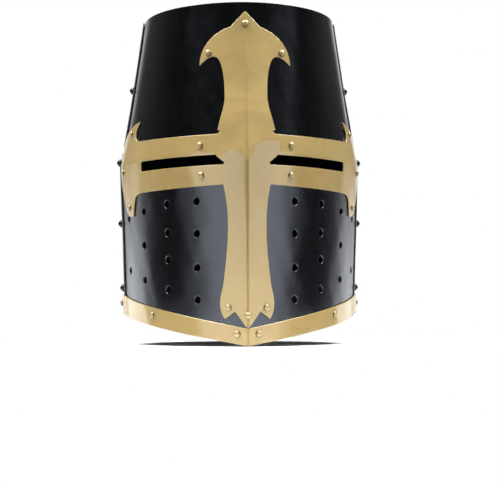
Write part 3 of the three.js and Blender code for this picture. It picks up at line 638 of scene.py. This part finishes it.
def sheet_directions(along, z, offset, height, drifts=False):
    """Along the sheet, up the sheet and out of it, at each place. A drift moves only these directions."""
    step = 0.12 * mm
    if drifts:
        near_waist = np.clip(2 - np.abs(z - WAIST) / DRIFT_FADE, 0, 1)
        z = z - np.interp(along, DRIFT_PLACES, DRIFT) * near_waist

    def change(aside, rise):
        ends = ((along + aside, z + rise), (along - aside, z - rise))
        ahead, behind = (place(*end, offset(*end) + height) for end in ends)
        return ahead - behind

    across, up = change(step, 0), change(0, step)
    return across, up, unit(np.cross(across, up))


def finished_mesh(name, points, faces, material, normals=None):
    mesh = bpy.data.meshes.new(name)
    mesh.from_pydata(points.tolist(), [], faces)
    mesh.validate()
    mesh.shade_smooth()
    if normals is not None:
        mesh.normals_split_custom_set_from_vertices(normals.tolist())
    mesh.materials.append(material)
    return linked(name, mesh)


SKIN_CLEARANCE = 1.1 * mm  # of the inner mesh points from the edges
CUT_SCALE = 1000.0  # the triangles are found in millimetres
HOLE_WEAR = 0.12  # of the edge of a hole, where an outer edge has 1


def cut_sheet(name, node, loops, offset, sheet, material, span, fine, levels, drifts=False, inside=None):
    """A blank with rounded edges, rolled onto the form: two skins joined by a wall round each loop."""
    thickness, edge_round, step = sheet
    out_of = [corner_directions(loop) for loop in loops]
    inset = [loop - edge_round * way for loop, way in zip(loops, out_of)]
    grid = np.stack(np.meshgrid(grid_lines(*span, step, fine), levels), axis=-1).reshape(-1, 2)
    grid = grid[is_inside(grid, inset) & clear_of(grid, inset, SKIN_CLEARANCE)]
    corners, edges = [], []
    for loop in inset:
        first = len(corners)
        corners += loop.tolist()
        edges += [(first + i, first + (i + 1) % len(loop)) for i in range(len(loop))]
    corners += grid.tolist()
    flat = [Vector((along * CUT_SCALE, z * CUT_SCALE)) for along, z in corners]
    cut = delaunay_2d_cdt(flat, edges, [], 0, 1e-6)
    spots = np.array([tuple(corner) for corner in cut[0]]) / CUT_SCALE
    number = {old: new for new, olds in enumerate(cut[3]) for old in olds}
    triangles = np.array([face for face in cut[2] if len(face) == 3])
    middles = spots[triangles].mean(axis=1)
    triangles = triangles[is_inside(middles, inset)]
    a, b, c = (spots[triangles[:, i]] for i in range(3))
    turned = (b[:, 0] - a[:, 0]) * (c[:, 1] - a[:, 1]) - (b[:, 1] - a[:, 1]) * (c[:, 0] - a[:, 0]) < 0
    triangles[turned] = triangles[turned][:, ::-1]

    along, z = spots[:, 0], spots[:, 1]
    out = sheet_directions(along, z, offset, thickness / 2, drifts)[2]
    points = [place(along, z, offset(along, z) + height) for height in (thickness, 0)]
    at_edge = [np.repeat([0.0, -1.0], len(spots))]
    normals = [out, -out]
    count = len(spots)
    faces = triangles.tolist() + (triangles[:, ::-1] + count).tolist()
    total = 2 * count
    turns = np.radians([30, 60, 90])
    begin = 0
    for loop, way in zip(loops, out_of):
        size = len(loop)
        skin = np.array([number[begin + i] for i in range(size)])
        begin += size
        rows = [skin]
        for half, turn in zip((1, 1, 1, -1, -1, -1), (*turns, *turns[::-1])):
            row = (loop - edge_round * (1 - math.sin(turn)) * way).T
            drop = edge_round * (1 - math.cos(turn))
            height = thickness - drop if half > 0 else drop
            points.append(place(*row, offset(*row) + height))
            across, up, away = sheet_directions(*row, offset, height, drifts)
            edgeward = unit(across * way[:, :1] + up * way[:, 1:])
            normals.append(edgeward * math.sin(turn) + away * half * math.cos(turn))
            wear = math.cos(turn / 2) if half > 0 else 0.6 * math.sin(turn) ** 2
            at_edge.append(np.full(size, wear * (1.0 if loop is loops[0] else HOLE_WEAR)))
            rows.append(np.arange(total, total + size))
            total += size
        rows.append(skin + count)
        for high, low in zip(rows, rows[1:]):
            ahead = np.roll(np.arange(size), -1)
            faces += np.stack([high, low, low[ahead], high[ahead]], axis=1).tolist()
    piece = finished_mesh(name, np.concatenate(points), faces, material, np.concatenate(normals))
    if inside is not None and len(piece.data.polygons) == len(faces):
        piece.data.materials.append(inside)
        inner = np.zeros(len(faces), np.int32)
        inner[len(triangles):2 * len(triangles)] = 1
        piece.data.polygons.foreach_set("material_index", inner)
    marks = piece.data.attributes.new("edge", "FLOAT", "POINT")
    marks.data.foreach_set("value", np.concatenate(at_edge))
    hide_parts(node)
    return piece


# Outlines as shares of a piece's reach from the keel and of its height. An entry of two numbers is
# a straight line to that place, and one of six is a curve with its two guides first.
BAR_SHARES = (
    (0, 0), (0.257, 0.0509), (0.486, 0.0275), (0.548, 0.0395, 0.592, 0.055, 0.592, 0.076),
    (0.592, 0.1, 0.545, 0.113, 0.512, 0.138), (0.462, 0.1954, 0.4, 0.258, 0.4, 0.335),
    (0.4, 0.405, 0.505, 0.455, 0.574, 0.4996), (0.451, 0.512), (0.605, 0.529),
    (0.68, 0.537, 0.718, 0.552, 0.718, 0.5675), (0.718, 0.586, 0.64, 0.6045, 0.534, 0.611),
    (0.607, 0.6155), (0.521, 0.6652, 0.436, 0.69, 0.438, 0.725),
    (0.441, 0.78, 0.478, 0.8414, 0.612, 0.852), (0.732, 0.861, 0.844, 0.8473, 1, 0.8293),
    (0.968, 0.8963, 0.645, 0.9315, 0.297, 0.9498), (0, 1),
)
BAND_SHARES = (
    (0.0866, 0.26), (0.693, 0.238), (0.738, 0.236, 0.771, 0.218, 0.7805, 0.18), (0.8025, 0),
    (0.857, 0.008), (0.891, 0.057), (0.916, 0.141, 0.99, 0.29, 1, 0.467),
    (1, 0.625, 0.992, 0.743, 0.972, 0.822), (0.955, 0.877, 0.905, 0.931, 0.836, 0.956), (0.724, 1),
    (0.744, 0.9555, 0.769, 0.9065, 0.769, 0.857), (0.769, 0.8125, 0.757, 0.786, 0.728, 0.782),
    (0.381, 0.772), (0.0866, 0.768),
)
BAR_BOX = (BAR_HOOK, BAR_BOTTOM, BAR_TOP)
BAND_BOX = (BAND_REACH, HORN_BOTTOM, HORN_TOP)


def in_box(box, across, rise):
    """A length from the keel and a height, from their shares."""
    reach, bottom, top = box
    return across * reach, bottom + (top - bottom) * rise


def drawn(shares, box, curve_steps=14):
    points = []
    for entry in shares:
        guides = [np.array(in_box(box, *entry[i:i + 2])) for i in range(0, len(entry), 2)]
        if len(guides) == 1:
            points += guides
            continue
        start, (first, second, end) = points[-1], guides
        for share in np.linspace(0, 1, curve_steps + 1)[1:]:
            rest = 1 - share
            points.append(
                rest ** 3 * start + 3 * rest ** 2 * share * first
                + 3 * rest * share ** 2 * second + share ** 3 * end
            )
    return np.array(points)


def on_sheet(points):
    return np.array([(from_keel(length, z), z) for length, z in points])


def straight(low, high, bottom, top):
    return [(low, bottom), (high, bottom), (high, top), (low, top)]


def along_rim(places, height_at):
    return np.stack([places, height_at(places)], axis=1)


def rounded_hole(along, z, radius, corners=28):
    stretch = HALF_ROUND / arc_lengths(z)[-1]
    turns = -2 * math.pi * np.arange(corners) / corners
    return np.stack([along + radius * stretch * np.cos(turns), z + radius * np.sin(turns)], axis=1)


def joggle_lines(*starts):
    """Closer lines over each step, on both sides of the keel and of the back."""
    return [
        (low, low + JOGGLE, 7)
        for start in starts for low in (start, -start - JOGGLE, 2 * HALF_ROUND - start - JOGGLE)
    ]


KEEL_LINES = (-2.4 * mm, 2.4 * mm, 17)
COVER_LINES = (KEEL_LINES, *joggle_lines(NASAL + GAP, SLIT_END - GAP - JOGGLE, SET_IN))
COVER_LEVELS = ((LAP_EDGE, LAP_EDGE + JOGGLE, 7),)
BACK_LINES = joggle_lines(FRONT_END + GAP)
BAR_LEVELS = (
    (BAND_BOTTOM - GAP - BAR_RAMP, BAND_BOTTOM - GAP, 15), (BAND_TOP + GAP, BAND_TOP + GAP + BAR_RAMP, 15),
    (WAIST - 8 * mm, WAIST + 14 * mm, 23),
)
FRONT = (-FRONT_END, FRONT_END)
BACK = (LAP_START, BACK_START)


def plates():
    face = mirrored([
        *along_rim(spread(0, FRONT_END, 3 * mm), rim_at), (FRONT_END, LAP_TOP - EAR_CORNER),
        (FRONT_END - EAR_CORNER, LAP_TOP), (SLIT_END + EAR_CORNER, LAP_TOP), (SLIT_END, LAP_TOP - EAR_CORNER),
        (SLIT_END, SLIT_BOTTOM), (NASAL, SLIT_BOTTOM), (NASAL, LAP_TOP - EAR_CORNER),
        (NASAL - EAR_CORNER, LAP_TOP),
    ])
    breaths = []
    for column, *heights in BREATH_SHARES:
        for z in (share * SLIT_BOTTOM for share in heights):
            for _, sign in SIDES:
                breaths.append(rounded_hole(sign * from_keel(column * LAP_START, z), z, BREATH))
    neck = [
        *along_rim(spread(*BACK, 3 * mm), lambda along: rim_at(from_front(along))),
        (BACK_START, LAP_TOP - LAP_CORNER), (BACK_START - LAP_CORNER, LAP_TOP),
        (LAP_START + LAP_CORNER, LAP_TOP), (LAP_START, LAP_TOP - LAP_CORNER),
    ]
    upper = (satin_steel, UPPER_CORNER, grid_lines(SLIT_TOP, CROWN, PLATE_RISE, COVER_LEVELS))
    lower = (dimpled_steel, LOWER_CORNER, grid_lines(0, LAP_TOP, PLATE_RISE))
    return [
        cut_sheet(
            name, node, [dense(soften(outline, corner)), *holes], offset, STEEL_SHEET, steel,
            span, fine, levels, inside=dull_inside,
        )
        for name, node, outline, holes, offset, span, fine, (steel, corner, levels) in (
            ("black_upper_front", "upper_front_plate", straight(*FRONT, SLIT_TOP, CROWN), [],
             upper_front_offset, FRONT, COVER_LINES, upper),
            ("black_upper_back", "upper_back_plate", straight(*BACK, SLIT_TOP, CROWN), [],
             upper_back_offset, BACK, BACK_LINES, upper),
            ("black_face_plate", "lower_front_plate", face, breaths, level(0.0), FRONT, (KEEL_LINES,), lower),
            ("black_lower_back", "lower_back_plate", neck, [], lower_back_offset, BACK, BACK_LINES, lower),
        )
    ]


def brass_pieces():
    outline = mirrored(on_sheet(drawn(BAR_SHARES, BAR_BOX)))
    bar = cut_sheet(
        "brass_cross_bar", "cross_bar", [dense(soften(outline, 0.8 * mm, 2), BRASS_STEP)], bar_offset,
        BAR_SHEET, brass, (-BAR_HOOK * 1.3, BAR_HOOK * 1.3), (KEEL_LINES,),
        grid_lines(BAR_BOTTOM, BAR_TOP, BRASS_RISE, BAR_LEVELS), drifts=True,
    )
    slit_end = SLIT_END - SLIT_END_SHOW
    half = np.concatenate([drawn(BAND_SHARES, BAND_BOX), [
        (BAND_INNER, SLIT_TOP - SLIT_SHOW), (slit_end, SLIT_TOP - SLIT_SHOW),
        (slit_end, SLIT_BOTTOM + SLIT_SHOW), (BAND_INNER, SLIT_BOTTOM + SLIT_SHOW),
    ]])
    outline = dense(soften(on_sheet(half), 1.2 * mm, 3), BRASS_STEP)
    other_outline = (outline * (-1, 1))[::-1]
    bands = [
        cut_sheet(
            f"brass_{side}_eye_band", f"{side}_eye_band", [loop], level(LAYER), BRASS_SHEET, brass,
            sorted((sign * BAND_INNER, sign * (BAND_REACH + 8 * mm))), (),
            grid_lines(HORN_BOTTOM, HORN_TOP, BRASS_RISE),
        )
        for (side, sign), loop in zip(SIDES, (outline, other_outline))
    ]
    places = spread(0, TRIM_END, TRIM_STEP)
    outline = mirrored([*along_rim(places, rim_at), *along_rim(places, trim_top_at)[::-1]])
    trim = cut_sheet(
        "brass_rim_trim", "rim_trim", [dense(soften(outline, 1.0 * mm, 3))], trim_offset, BRASS_SHEET, brass,
        (-TRIM_END, TRIM_END), (KEEL_LINES, *joggle_lines(SET_IN)), grid_lines(0, 60 * mm, TRIM_RISE),
    )
    return [bar, *bands, trim]


def lofted(name, node, rings, material, ends=None):
    """Rings of points as one skin. A ring of one point closes an end, and others are capped or joined."""
    points = np.concatenate(rings)
    starts = np.cumsum([0] + [len(ring) for ring in rings])
    faces = []
    if ends == "capped":
        faces = [list(range(len(rings[0])))[::-1], list(range(starts[-2], starts[-1]))]
    for i in range(len(rings) - (ends != "joined")):
        following = (i + 1) % len(rings)
        near, far = len(rings[i]), len(rings[following])
        for j in range(max(near, far)):
            a, b = (starts[i] + k % near for k in (j, j + 1))
            d, c = (starts[following] + k % far for k in (j, j + 1))
            faces.append(list(dict.fromkeys((a, d, c, b))))
    piece = finished_mesh(name, points, faces, material)
    if ends:
        work = bmesh.new()
        work.from_mesh(piece.data)
        bmesh.ops.recalc_face_normals(work, faces=work.faces)
        work.to_mesh(piece.data)
        work.free()
    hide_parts(node)
    return piece


# Crown plate: a low dome with a flange turned down inside the upper plates
CROWN_MIDDLE = np.array([0, (BACK_REACH[2] - REACH[2]) / 2 + SHIFT_Y, 0])
# Waves in the dome: radians a metre across and back, where each starts, and its size in mm
CROWN_WAVES = ((95, 40, 0.4, 0.12), (-60, 85, 2.2, 0.11), (140, -95, 4.0, 0.05), (40, 160, 1.1, 0.05))


def crown():
    turns = np.linspace(0, 2 * HALF_ROUND, 181)[:-1]
    edge = place(turns, CROWN, -GAP)
    width = HALF_WIDTH[2]
    flat_share = CROWN_FLAT / width
    edge_share = 1 - CROWN_ROUND / width

    def level_ring(share):
        return CROWN_MIDDLE + (edge - CROWN_MIDDLE) * share

    def dome_ring(share, drop):
        ring = level_ring(share)
        uneven = sum(
            size * np.sin(aside * ring[:, 0] + back * ring[:, 1] + start)
            for aside, back, start, size in CROWN_WAVES
        )
        out = np.clip((share - flat_share) / (edge_share - flat_share), 0, 1)
        dome = CROWN + CROWN_DOME * (1 - out ** 2)
        ring[:, 2] = dome - drop + uneven * mm * math.sin(math.pi * share)
        return ring

    def corner_ring(turn, radius):
        """A ring on the rounded edge between the dome and the flange."""
        ring = level_ring(edge_share + radius * math.sin(turn) / width)
        ring[:, 2] = CROWN - CROWN_ROUND + radius * math.cos(turn)
        return ring

    shares = np.linspace(0.04, edge_share, 22)
    corner = np.radians([30, 60, 80])
    bottom = CROWN - CROWN_FLANGE
    heights = [CROWN - CROWN_ROUND, CROWN - FLANGE_MIDDLE, bottom + FLANGE_EDGE]
    flange = [(z, -GAP) for z in heights]
    flange += [(bottom, -GAP - FLANGE_EDGE), (bottom, -GAP - STEEL + FLANGE_EDGE)]
    flange += [(z, -GAP - STEEL) for z in heights[::-1]]
    top = CROWN_MIDDLE[None] + (0, 0, CROWN + CROWN_DOME)
    return lofted("black_crown", "crown_plate", [
        top, *(dome_ring(share, 0) for share in shares), *(corner_ring(turn, CROWN_ROUND) for turn in corner),
        *(place(turns, z, offset) for z, offset in flange),
        *(corner_ring(turn, CROWN_ROUND - STEEL) for turn in corner[::-1]),
        *(dome_ring(share, STEEL) for share in shares[::-1]), top - (0, 0, STEEL),
    ], satin_steel)


# Rivets and liner. Offsets run outwards from the form, and a rivet closes on an inner and an outer one.
HOOK_ALONG, HOOK_Z = in_box(BAR_BOX, 0.783, 0.8684)
LINER_TOP = HOOK_Z + 8 * mm
LINER_BOTTOM = HORN_TOP + (HOOK_Z - HORN_TOP) * 0.417
LINER_RIVET_Z = LINER_BOTTOM + (LINER_TOP - LINER_BOTTOM) * 0.32
LINER_END = HALF_ROUND - 0.5 * mm
OVER_BRASS = LAYER + BRASS + GAP
OVER_BLACK = LAYER + STEEL + GAP
UNDER_LINER = -GAP - LEATHER - GAP
LAP_RIVET = LAP_START + LAP_WIDTH / 2
LAP_RIVET_Z = SLIT_TOP + (LAP_TOP - SLIT_TOP) * 0.3
RIVET_SIZES = ("Head radius", "Dome height", "Shank radius", "Peen radius", "Peen height", "Point")
BRASS_RIVET = dict(zip(RIVET_SIZES, (2.7 * mm, 1.8 * mm, 1.1 * mm, 2.1 * mm, 0.8 * mm, 0.0)))
BLACK_RIVET = dict(zip(RIVET_SIZES, (3.3 * mm, 3 * mm, 1.5 * mm, 2.5 * mm, 0.8 * mm, 0.45)))

# Rivets on both sides: on the bar and the bands by shares, round the trim, down the seams and at the back
CROSS_RIVETS = (
    ("bar_rivet_hook", BAR_BOX, 0.783, 0.8684, UNDER_LINER), ("bar_rivet_foot", BAR_BOX, 0.398, 0.0625, -GAP),
    ("band_rivet_over_slit", BAND_BOX, 0.257, 0.664, -GAP),
    ("band_rivet_under_slit", BAND_BOX, 0.253, 0.363, -GAP),
    ("band_rivet_upper_horn", BAND_BOX, 0.827, 0.882, -GAP), ("band_rivet_side", BAND_BOX, 0.94, 0.486, -GAP),
    ("band_rivet_lower_horn", BAND_BOX, 0.848, 0.101, -GAP),
)
TRIM_RIVETS = (
    ("front", 0.047 * TRIM_END, OVER_BRASS), ("middle", 0.564 * TRIM_END, OVER_BRASS),
    ("end", LAP_RIVET, OVER_BRASS + LAYER),
)
SEAM_TRIM = trim_top_at(LAP_RIVET)
SEAM_RIVETS = (
    (1, LINER_RIVET_Z, UNDER_LINER), (2, LAP_RIVET_Z, -LAYER - LAYER - GAP),
    (3, SEAM_TRIM + (SLIT_BOTTOM - SEAM_TRIM) * 0.61, -GAP),
    (4, SEAM_TRIM + (SLIT_BOTTOM - SEAM_TRIM) * 0.06, -GAP),
)
BACK_RIVETS = (
    ("waist", 82 * mm, LAP_RIVET_Z, -LAYER - GAP), ("liner", 43 * mm, LINER_RIVET_Z, UNDER_LINER),
)


def planned_rivets():
    """Two lists of rivets, brass and black: a name, a place on the form and the two faces it closes on."""
    brass_plan = [
        ("bar_rivet_top", 0.0, in_box(BAR_BOX, 0, 0.959)[1], -GAP, OVER_BRASS),
        ("bar_rivet_foot", 0.0, in_box(BAR_BOX, 0, 0.038)[1], -1.6 * mm, OVER_BRASS),
    ]
    black_plan = [("back_rivet_waist", HALF_ROUND, LAP_RIVET_Z, -LAYER - GAP, LAYER)]
    for side, sign in SIDES:
        for name, box, across, rise, inner in CROSS_RIVETS:
            length, z = in_box(box, across, rise)
            brass_plan.append((f"{side}_{name}", sign * from_keel(length, z), z, inner, OVER_BRASS))
        for name, along, outer in TRIM_RIVETS:
            z = rim_at(along) + (trim_top_at(along) - rim_at(along)) * 0.58
            brass_plan.append((f"{side}_trim_rivet_{name}", sign * along, z, -GAP, outer))
        for number, z, inner in SEAM_RIVETS:
            black_plan.append((f"{side}_seam_rivet_{number}", sign * LAP_RIVET, z, inner, OVER_BLACK))
        for name, aside, z, inner in BACK_RIVETS:
            black_plan.append((f"{side}_back_rivet_{name}", HALF_ROUND + sign * aside, z, inner, LAYER))
    return brass_plan, black_plan


def varied(make, given, size, low, high):
    share = make.add("FunctionNodeRandomValue", Seed=given["Seed"], Min=low, Max=high)
    return make.math("MULTIPLY", given[size], share.outputs["Value"])


def on_axes(make, points, solid, axis, width, height):
    """The solid on each point, upright along the point's own axis."""
    return make.add(
        "GeometryNodeInstanceOnPoints", Points=points, Instance=solid,
        Rotation=make.add("FunctionNodeAlignRotationToVector", axis="Z", Vector=axis),
        Scale=make.add("CombineXYZ", width, width, height),
    )


def rivet_solids(make, given, axis):
    """Domes on every point, shanks down their axes and peened heads at their inner ends."""
    span = make.add("GeometryNodeInputNamedAttribute", Name="span")
    ball = make.add("GeometryNodeMeshUVSphere", Segments=28, Rings=18)
    # A point of 1 would make the dome a cone
    spot = make.add("GeometryNodeInputPosition")
    rise = make.add("SeparateXYZ", spot).outputs["Z"]
    in_plan = make.vector("MULTIPLY", spot, (1.0, 1.0, 0.0))["Vector"]
    from_axis = make.vector("LENGTH", in_plan)["Value"]
    cone = make.math("MULTIPLY", make.math("SUBTRACT", 1.0, from_axis), make.math("SIGN", rise))
    fall = make.math("MULTIPLY", make.math("SUBTRACT", cone, rise), given["Point"])
    pointed = make.add("GeometryNodeSetPosition", Geometry=ball, Offset=make.add("CombineXYZ", Z=fall))
    # Painted shade: each dome is marked darker towards its rim, where the head meets the plate
    head_rim_shade = make.between(from_axis, 0.8, 0.98)
    shade_marked = make.add("GeometryNodeStoreNamedAttribute", Geometry=pointed, Name="head_rim_shade", Value=head_rim_shade)
    shank = make.add("GeometryNodeMeshCylinder", Vertices=20, Depth=1.0)
    ways = (
        make.vector("SCALE", axis, Scale=make.math("MULTIPLY", span, share)) for share in (-0.5, -1.0)
    )
    half_way, whole_way = (
        make.add("GeometryNodeSetPosition", Geometry=given["Points"], Offset=way["Vector"]) for way in ways
    )
    head = varied(make, given, "Head radius", 0.95, 1.05)
    return [
        on_axes(make, given["Points"], shade_marked, axis, head, given["Dome height"]),
        on_axes(make, half_way, shank, axis, given["Shank radius"], span),
        on_axes(make, whole_way, ball, axis, given["Peen radius"], given["Peen height"]),
    ]


def stitch_solids(make, given, axis):
    grain = make.add("GeometryNodeMeshUVSphere", Segments=8, Rings=6)
    half_length = varied(make, given, "Stitch length", 0.44, 0.52)
    return [on_axes(make, given["Points"], grain, axis, given["Thread radius"], half_length)]


def tree_on_points(name, sizes, solids):
    """A tree that sets solids on points, and the identifiers of its inputs by their names."""
    tree = bpy.data.node_groups.new(name, "GeometryNodeTree")
    socket = tree.interface.new_socket
    kinds = {"Points": "Geometry", **dict.fromkeys(sizes, "Float"), "Seed": "Int", "Finish": "Material"}
    named = {
        key: socket(key, in_out="INPUT", socket_type="NodeSocket" + kind).identifier
        for key, kind in kinds.items()
    }
    socket("Solids", in_out="OUTPUT", socket_type="NodeSocketGeometry")
    make = NodeMaker(tree)
    given = make.add("NodeGroupInput").outputs
    axis = make.add("GeometryNodeInputNamedAttribute", data_type="FLOAT_VECTOR", Name="axis")
    joined = make.add("GeometryNodeJoinGeometry")
    for solid in solids(make, given, axis):
        make.put(joined, 0, solid)
    real = make.add("GeometryNodeRealizeInstances", joined)
    smooth = make.add("GeometryNodeSetShadeSmooth", real)
    finished = make.add("GeometryNodeSetMaterial", Geometry=smooth, Material=given["Finish"])
    make.add("NodeGroupOutput", finished)
    return tree, named


def set_out(name, tree_and_names, spots, axes, spans, inputs):
    """The tree's solids on the spots, as one plain mesh."""
    tree, named = tree_and_names
    mesh = bpy.data.meshes.new(name + "_points")
    mesh.from_pydata(spots.tolist(), [], [])
    mesh.attributes.new("axis", "FLOAT_VECTOR", "POINT").data.foreach_set("vector", unit(axes).ravel())
    mesh.attributes.new("span", "FLOAT", "POINT").data.foreach_set("value", spans)
    points = linked(name + "_points", mesh)
    modifier = points.modifiers.new(name, "NODES")
    modifier.node_group = tree
    for key, value in inputs.items():
        modifier[named[key]] = value
    bpy.context.view_layer.update()
    solid = points.evaluated_get(bpy.context.evaluated_depsgraph_get())
    plain = bpy.data.meshes.new_from_object(solid)
    plain.name = name
    bpy.data.objects.remove(points)
    return linked(name, plain)


def riveted(name, plan, sizes, seed, metal):
    along, z, inner, outer = (np.array([entry[i] for entry in plan]) for i in range(1, 5))
    foot = place(along, z, outer)
    inputs = {**sizes, "Seed": seed, "Finish": metal}
    heads = set_out(name, rivet_tree, foot, place(along, z, outer + 1 * mm) - foot, outer - inner, inputs)
    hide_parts(*(entry[0] for entry in plan))
    return heads


# Liner: a head band, tongues that rise to the crown, and the lace in the tunnels at their tips
TONGUES = 8
TONGUE_RISE = 19 * mm
TONGUE_BEND = 1.25  # radians, as is the turn of the hem
TONGUE_TAPER = 0.25
TONGUE_FOOT = LINER_RIVET_Z + 2.5 * mm + (LINER_TOP - LINER_RIVET_Z - 2.5 * mm) * 0.364
TONGUE_SPREAD = 2 * (from_keel(HOOK_ALONG, HOOK_Z) - 3.6 * mm * HALF_ROUND / arc_lengths(HOOK_Z)[-1])
LACE = 1.6 * mm
LACE_RINGS = 160
LACE_TWIST = 40  # degrees from one ring of the lace to the next
HEM_INSET = 3 * mm
HEM_TURN = 4.9
HEM_RADIUS = LACE + 2 * GAP
HEM_Z = LINER_TOP + TONGUE_RISE * math.sin(TONGUE_BEND) - THONG - HEM_RADIUS
STITCH_STEP = 4.2 * mm
STITCH_ROW = 3.2 * mm  # above the lower edge of the head band
STITCH_SIZES = {"Stitch length": 3.2 * mm, "Thread radius": 0.45 * mm}


def tongue_path(inset, steps=12, hem_steps=20):
    """Steps of (share of the way from the middle left, how far in besides, height)."""
    path = [(1.0, inset, z) for z in np.linspace(TONGUE_FOOT, LINER_TOP, 5)]
    for turn in np.linspace(0, TONGUE_BEND, steps + 1)[1:]:
        left = math.cos(turn)
        path.append((left, inset * left, LINER_TOP + (TONGUE_RISE - inset) * math.sin(turn)))
    radius = HEM_RADIUS + THONG - inset
    for turn in np.linspace(0, HEM_TURN, hem_steps + 1)[1:]:
        path.append((left, HEM_INSET + radius * math.sin(turn), HEM_Z + radius * math.cos(turn)))
    return path


def inwards(along, left, inset, z):
    """Points between the liner's wall and the middle of the helmet."""
    wall_z = min(z, LINER_TOP)
    wall = place(along, wall_z, UNDER_LINER)
    middle = CROWN_MIDDLE + (0, 0, wall_z)
    points = middle + (wall - middle) * (left - inset / np.linalg.norm(wall - middle, axis=1))[:, None]
    points[:, 2] = z
    return points


def tongue_rings(number, columns=20):
    middle_along = number * 2 * HALF_ROUND / TONGUES
    across = np.linspace(-0.5, 0.5, columns + 1) * TONGUE_SPREAD
    rings = []
    for step in zip(tongue_path(0.0), tongue_path(THONG)):
        outside, inside = (
            inwards(middle_along + across * (1 - TONGUE_TAPER * (1 - left)), left, inset, z)
            for left, inset, z in step
        )
        # The long edges are rounded: the cut face between the skins bulges by a quarter of its thickness
        edges = []
        for end, before in ((-1, -2), (0, 1)):
            away = unit(outside[end] - outside[before])
            edges.append([
                outside[end] * (1 - share) + inside[end] * share + away * bulge * THONG / 4
                for share, bulge in ((0.2, 0.8), (0.5, 1.0), (0.8, 0.8))
            ])
        rings.append(np.concatenate([outside, edges[0], inside[::-1], edges[1][::-1]]))
    return rings


def lace_rings():
    path = inwards(
        np.linspace(-HALF_ROUND, HALF_ROUND, LACE_RINGS + 1)[:-1], math.cos(TONGUE_BEND), HEM_INSET, HEM_Z,
    )
    aside = np.cross(unit(np.roll(path, -1, axis=0) - np.roll(path, 1, axis=0)), (0, 0, 1))
    rings = []
    for i, middle in enumerate(path):
        circle = np.radians(np.arange(0, 360, 30) + 12 * i)
        twist = LACE * (0.93 + 0.07 * np.cos(2 * circle - math.radians(LACE_TWIST * i)))
        rings.append(
            middle + np.outer(twist * np.cos(circle), aside[i]) + np.outer(twist * np.sin(circle), (0, 0, 1))
        )
    return rings


def liner():
    outline = straight(-LINER_END, LINER_END, LINER_BOTTOM, LINER_TOP)
    band = cut_sheet(
        "leather_head_band", "liner_band", [dense(soften(outline, 3 * mm), 3 * mm)], level(-GAP - LEATHER),
        LEATHER_SHEET, hide, (-LINER_END, LINER_END), (), grid_lines(LINER_BOTTOM, LINER_TOP, 5 * mm),
    )
    tongues = [
        lofted(f"leather_tongue_{i + 1}", f"liner_tongue_{i + 1}", tongue_rings(i), hide, "capped")
        for i in range(TONGUES)
    ]
    return [band, *tongues, lofted("leather_lace", "liner_lace", lace_rings(), cord, "joined")]


def stitched():
    """A row of stitches round the lower edge of the head band, on its inner face."""
    count = int(2 * LINER_END / STITCH_STEP)
    along = (np.arange(count) + 0.5) * 2 * LINER_END / count - LINER_END
    row, inner = LINER_BOTTOM + STITCH_ROW, -GAP - LEATHER
    ways = place(along + 1 * mm, row, inner) - place(along - 1 * mm, row, inner)
    return set_out(
        "leather_band_stitches", tree_on_points("stitches", STITCH_SIZES, stitch_solids),
        place(along, row, inner), ways, 0 * along, {**STITCH_SIZES, "Seed": 11, "Finish": waxed_thread},
    )


black_plates = [*plates(), crown()]
brass_parts = brass_pieces()
leather_parts = [*liner(), stitched()]
rivet_tree = tree_on_points("rivets", RIVET_SIZES, rivet_solids)
brass_plan, black_plan = planned_rivets()
brass_parts.append(riveted("brass_rivets", brass_plan, BRASS_RIVET, 3, brass))
black_plates.append(riveted("black_rivets", black_plan, BLACK_RIVET, 5, satin_steel))
for pieces, slot in ((black_plates, "black_steel"), (brass_parts, "brass"), (leather_parts, "liner_leather")):
    for piece in pieces:
        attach(piece, "root")
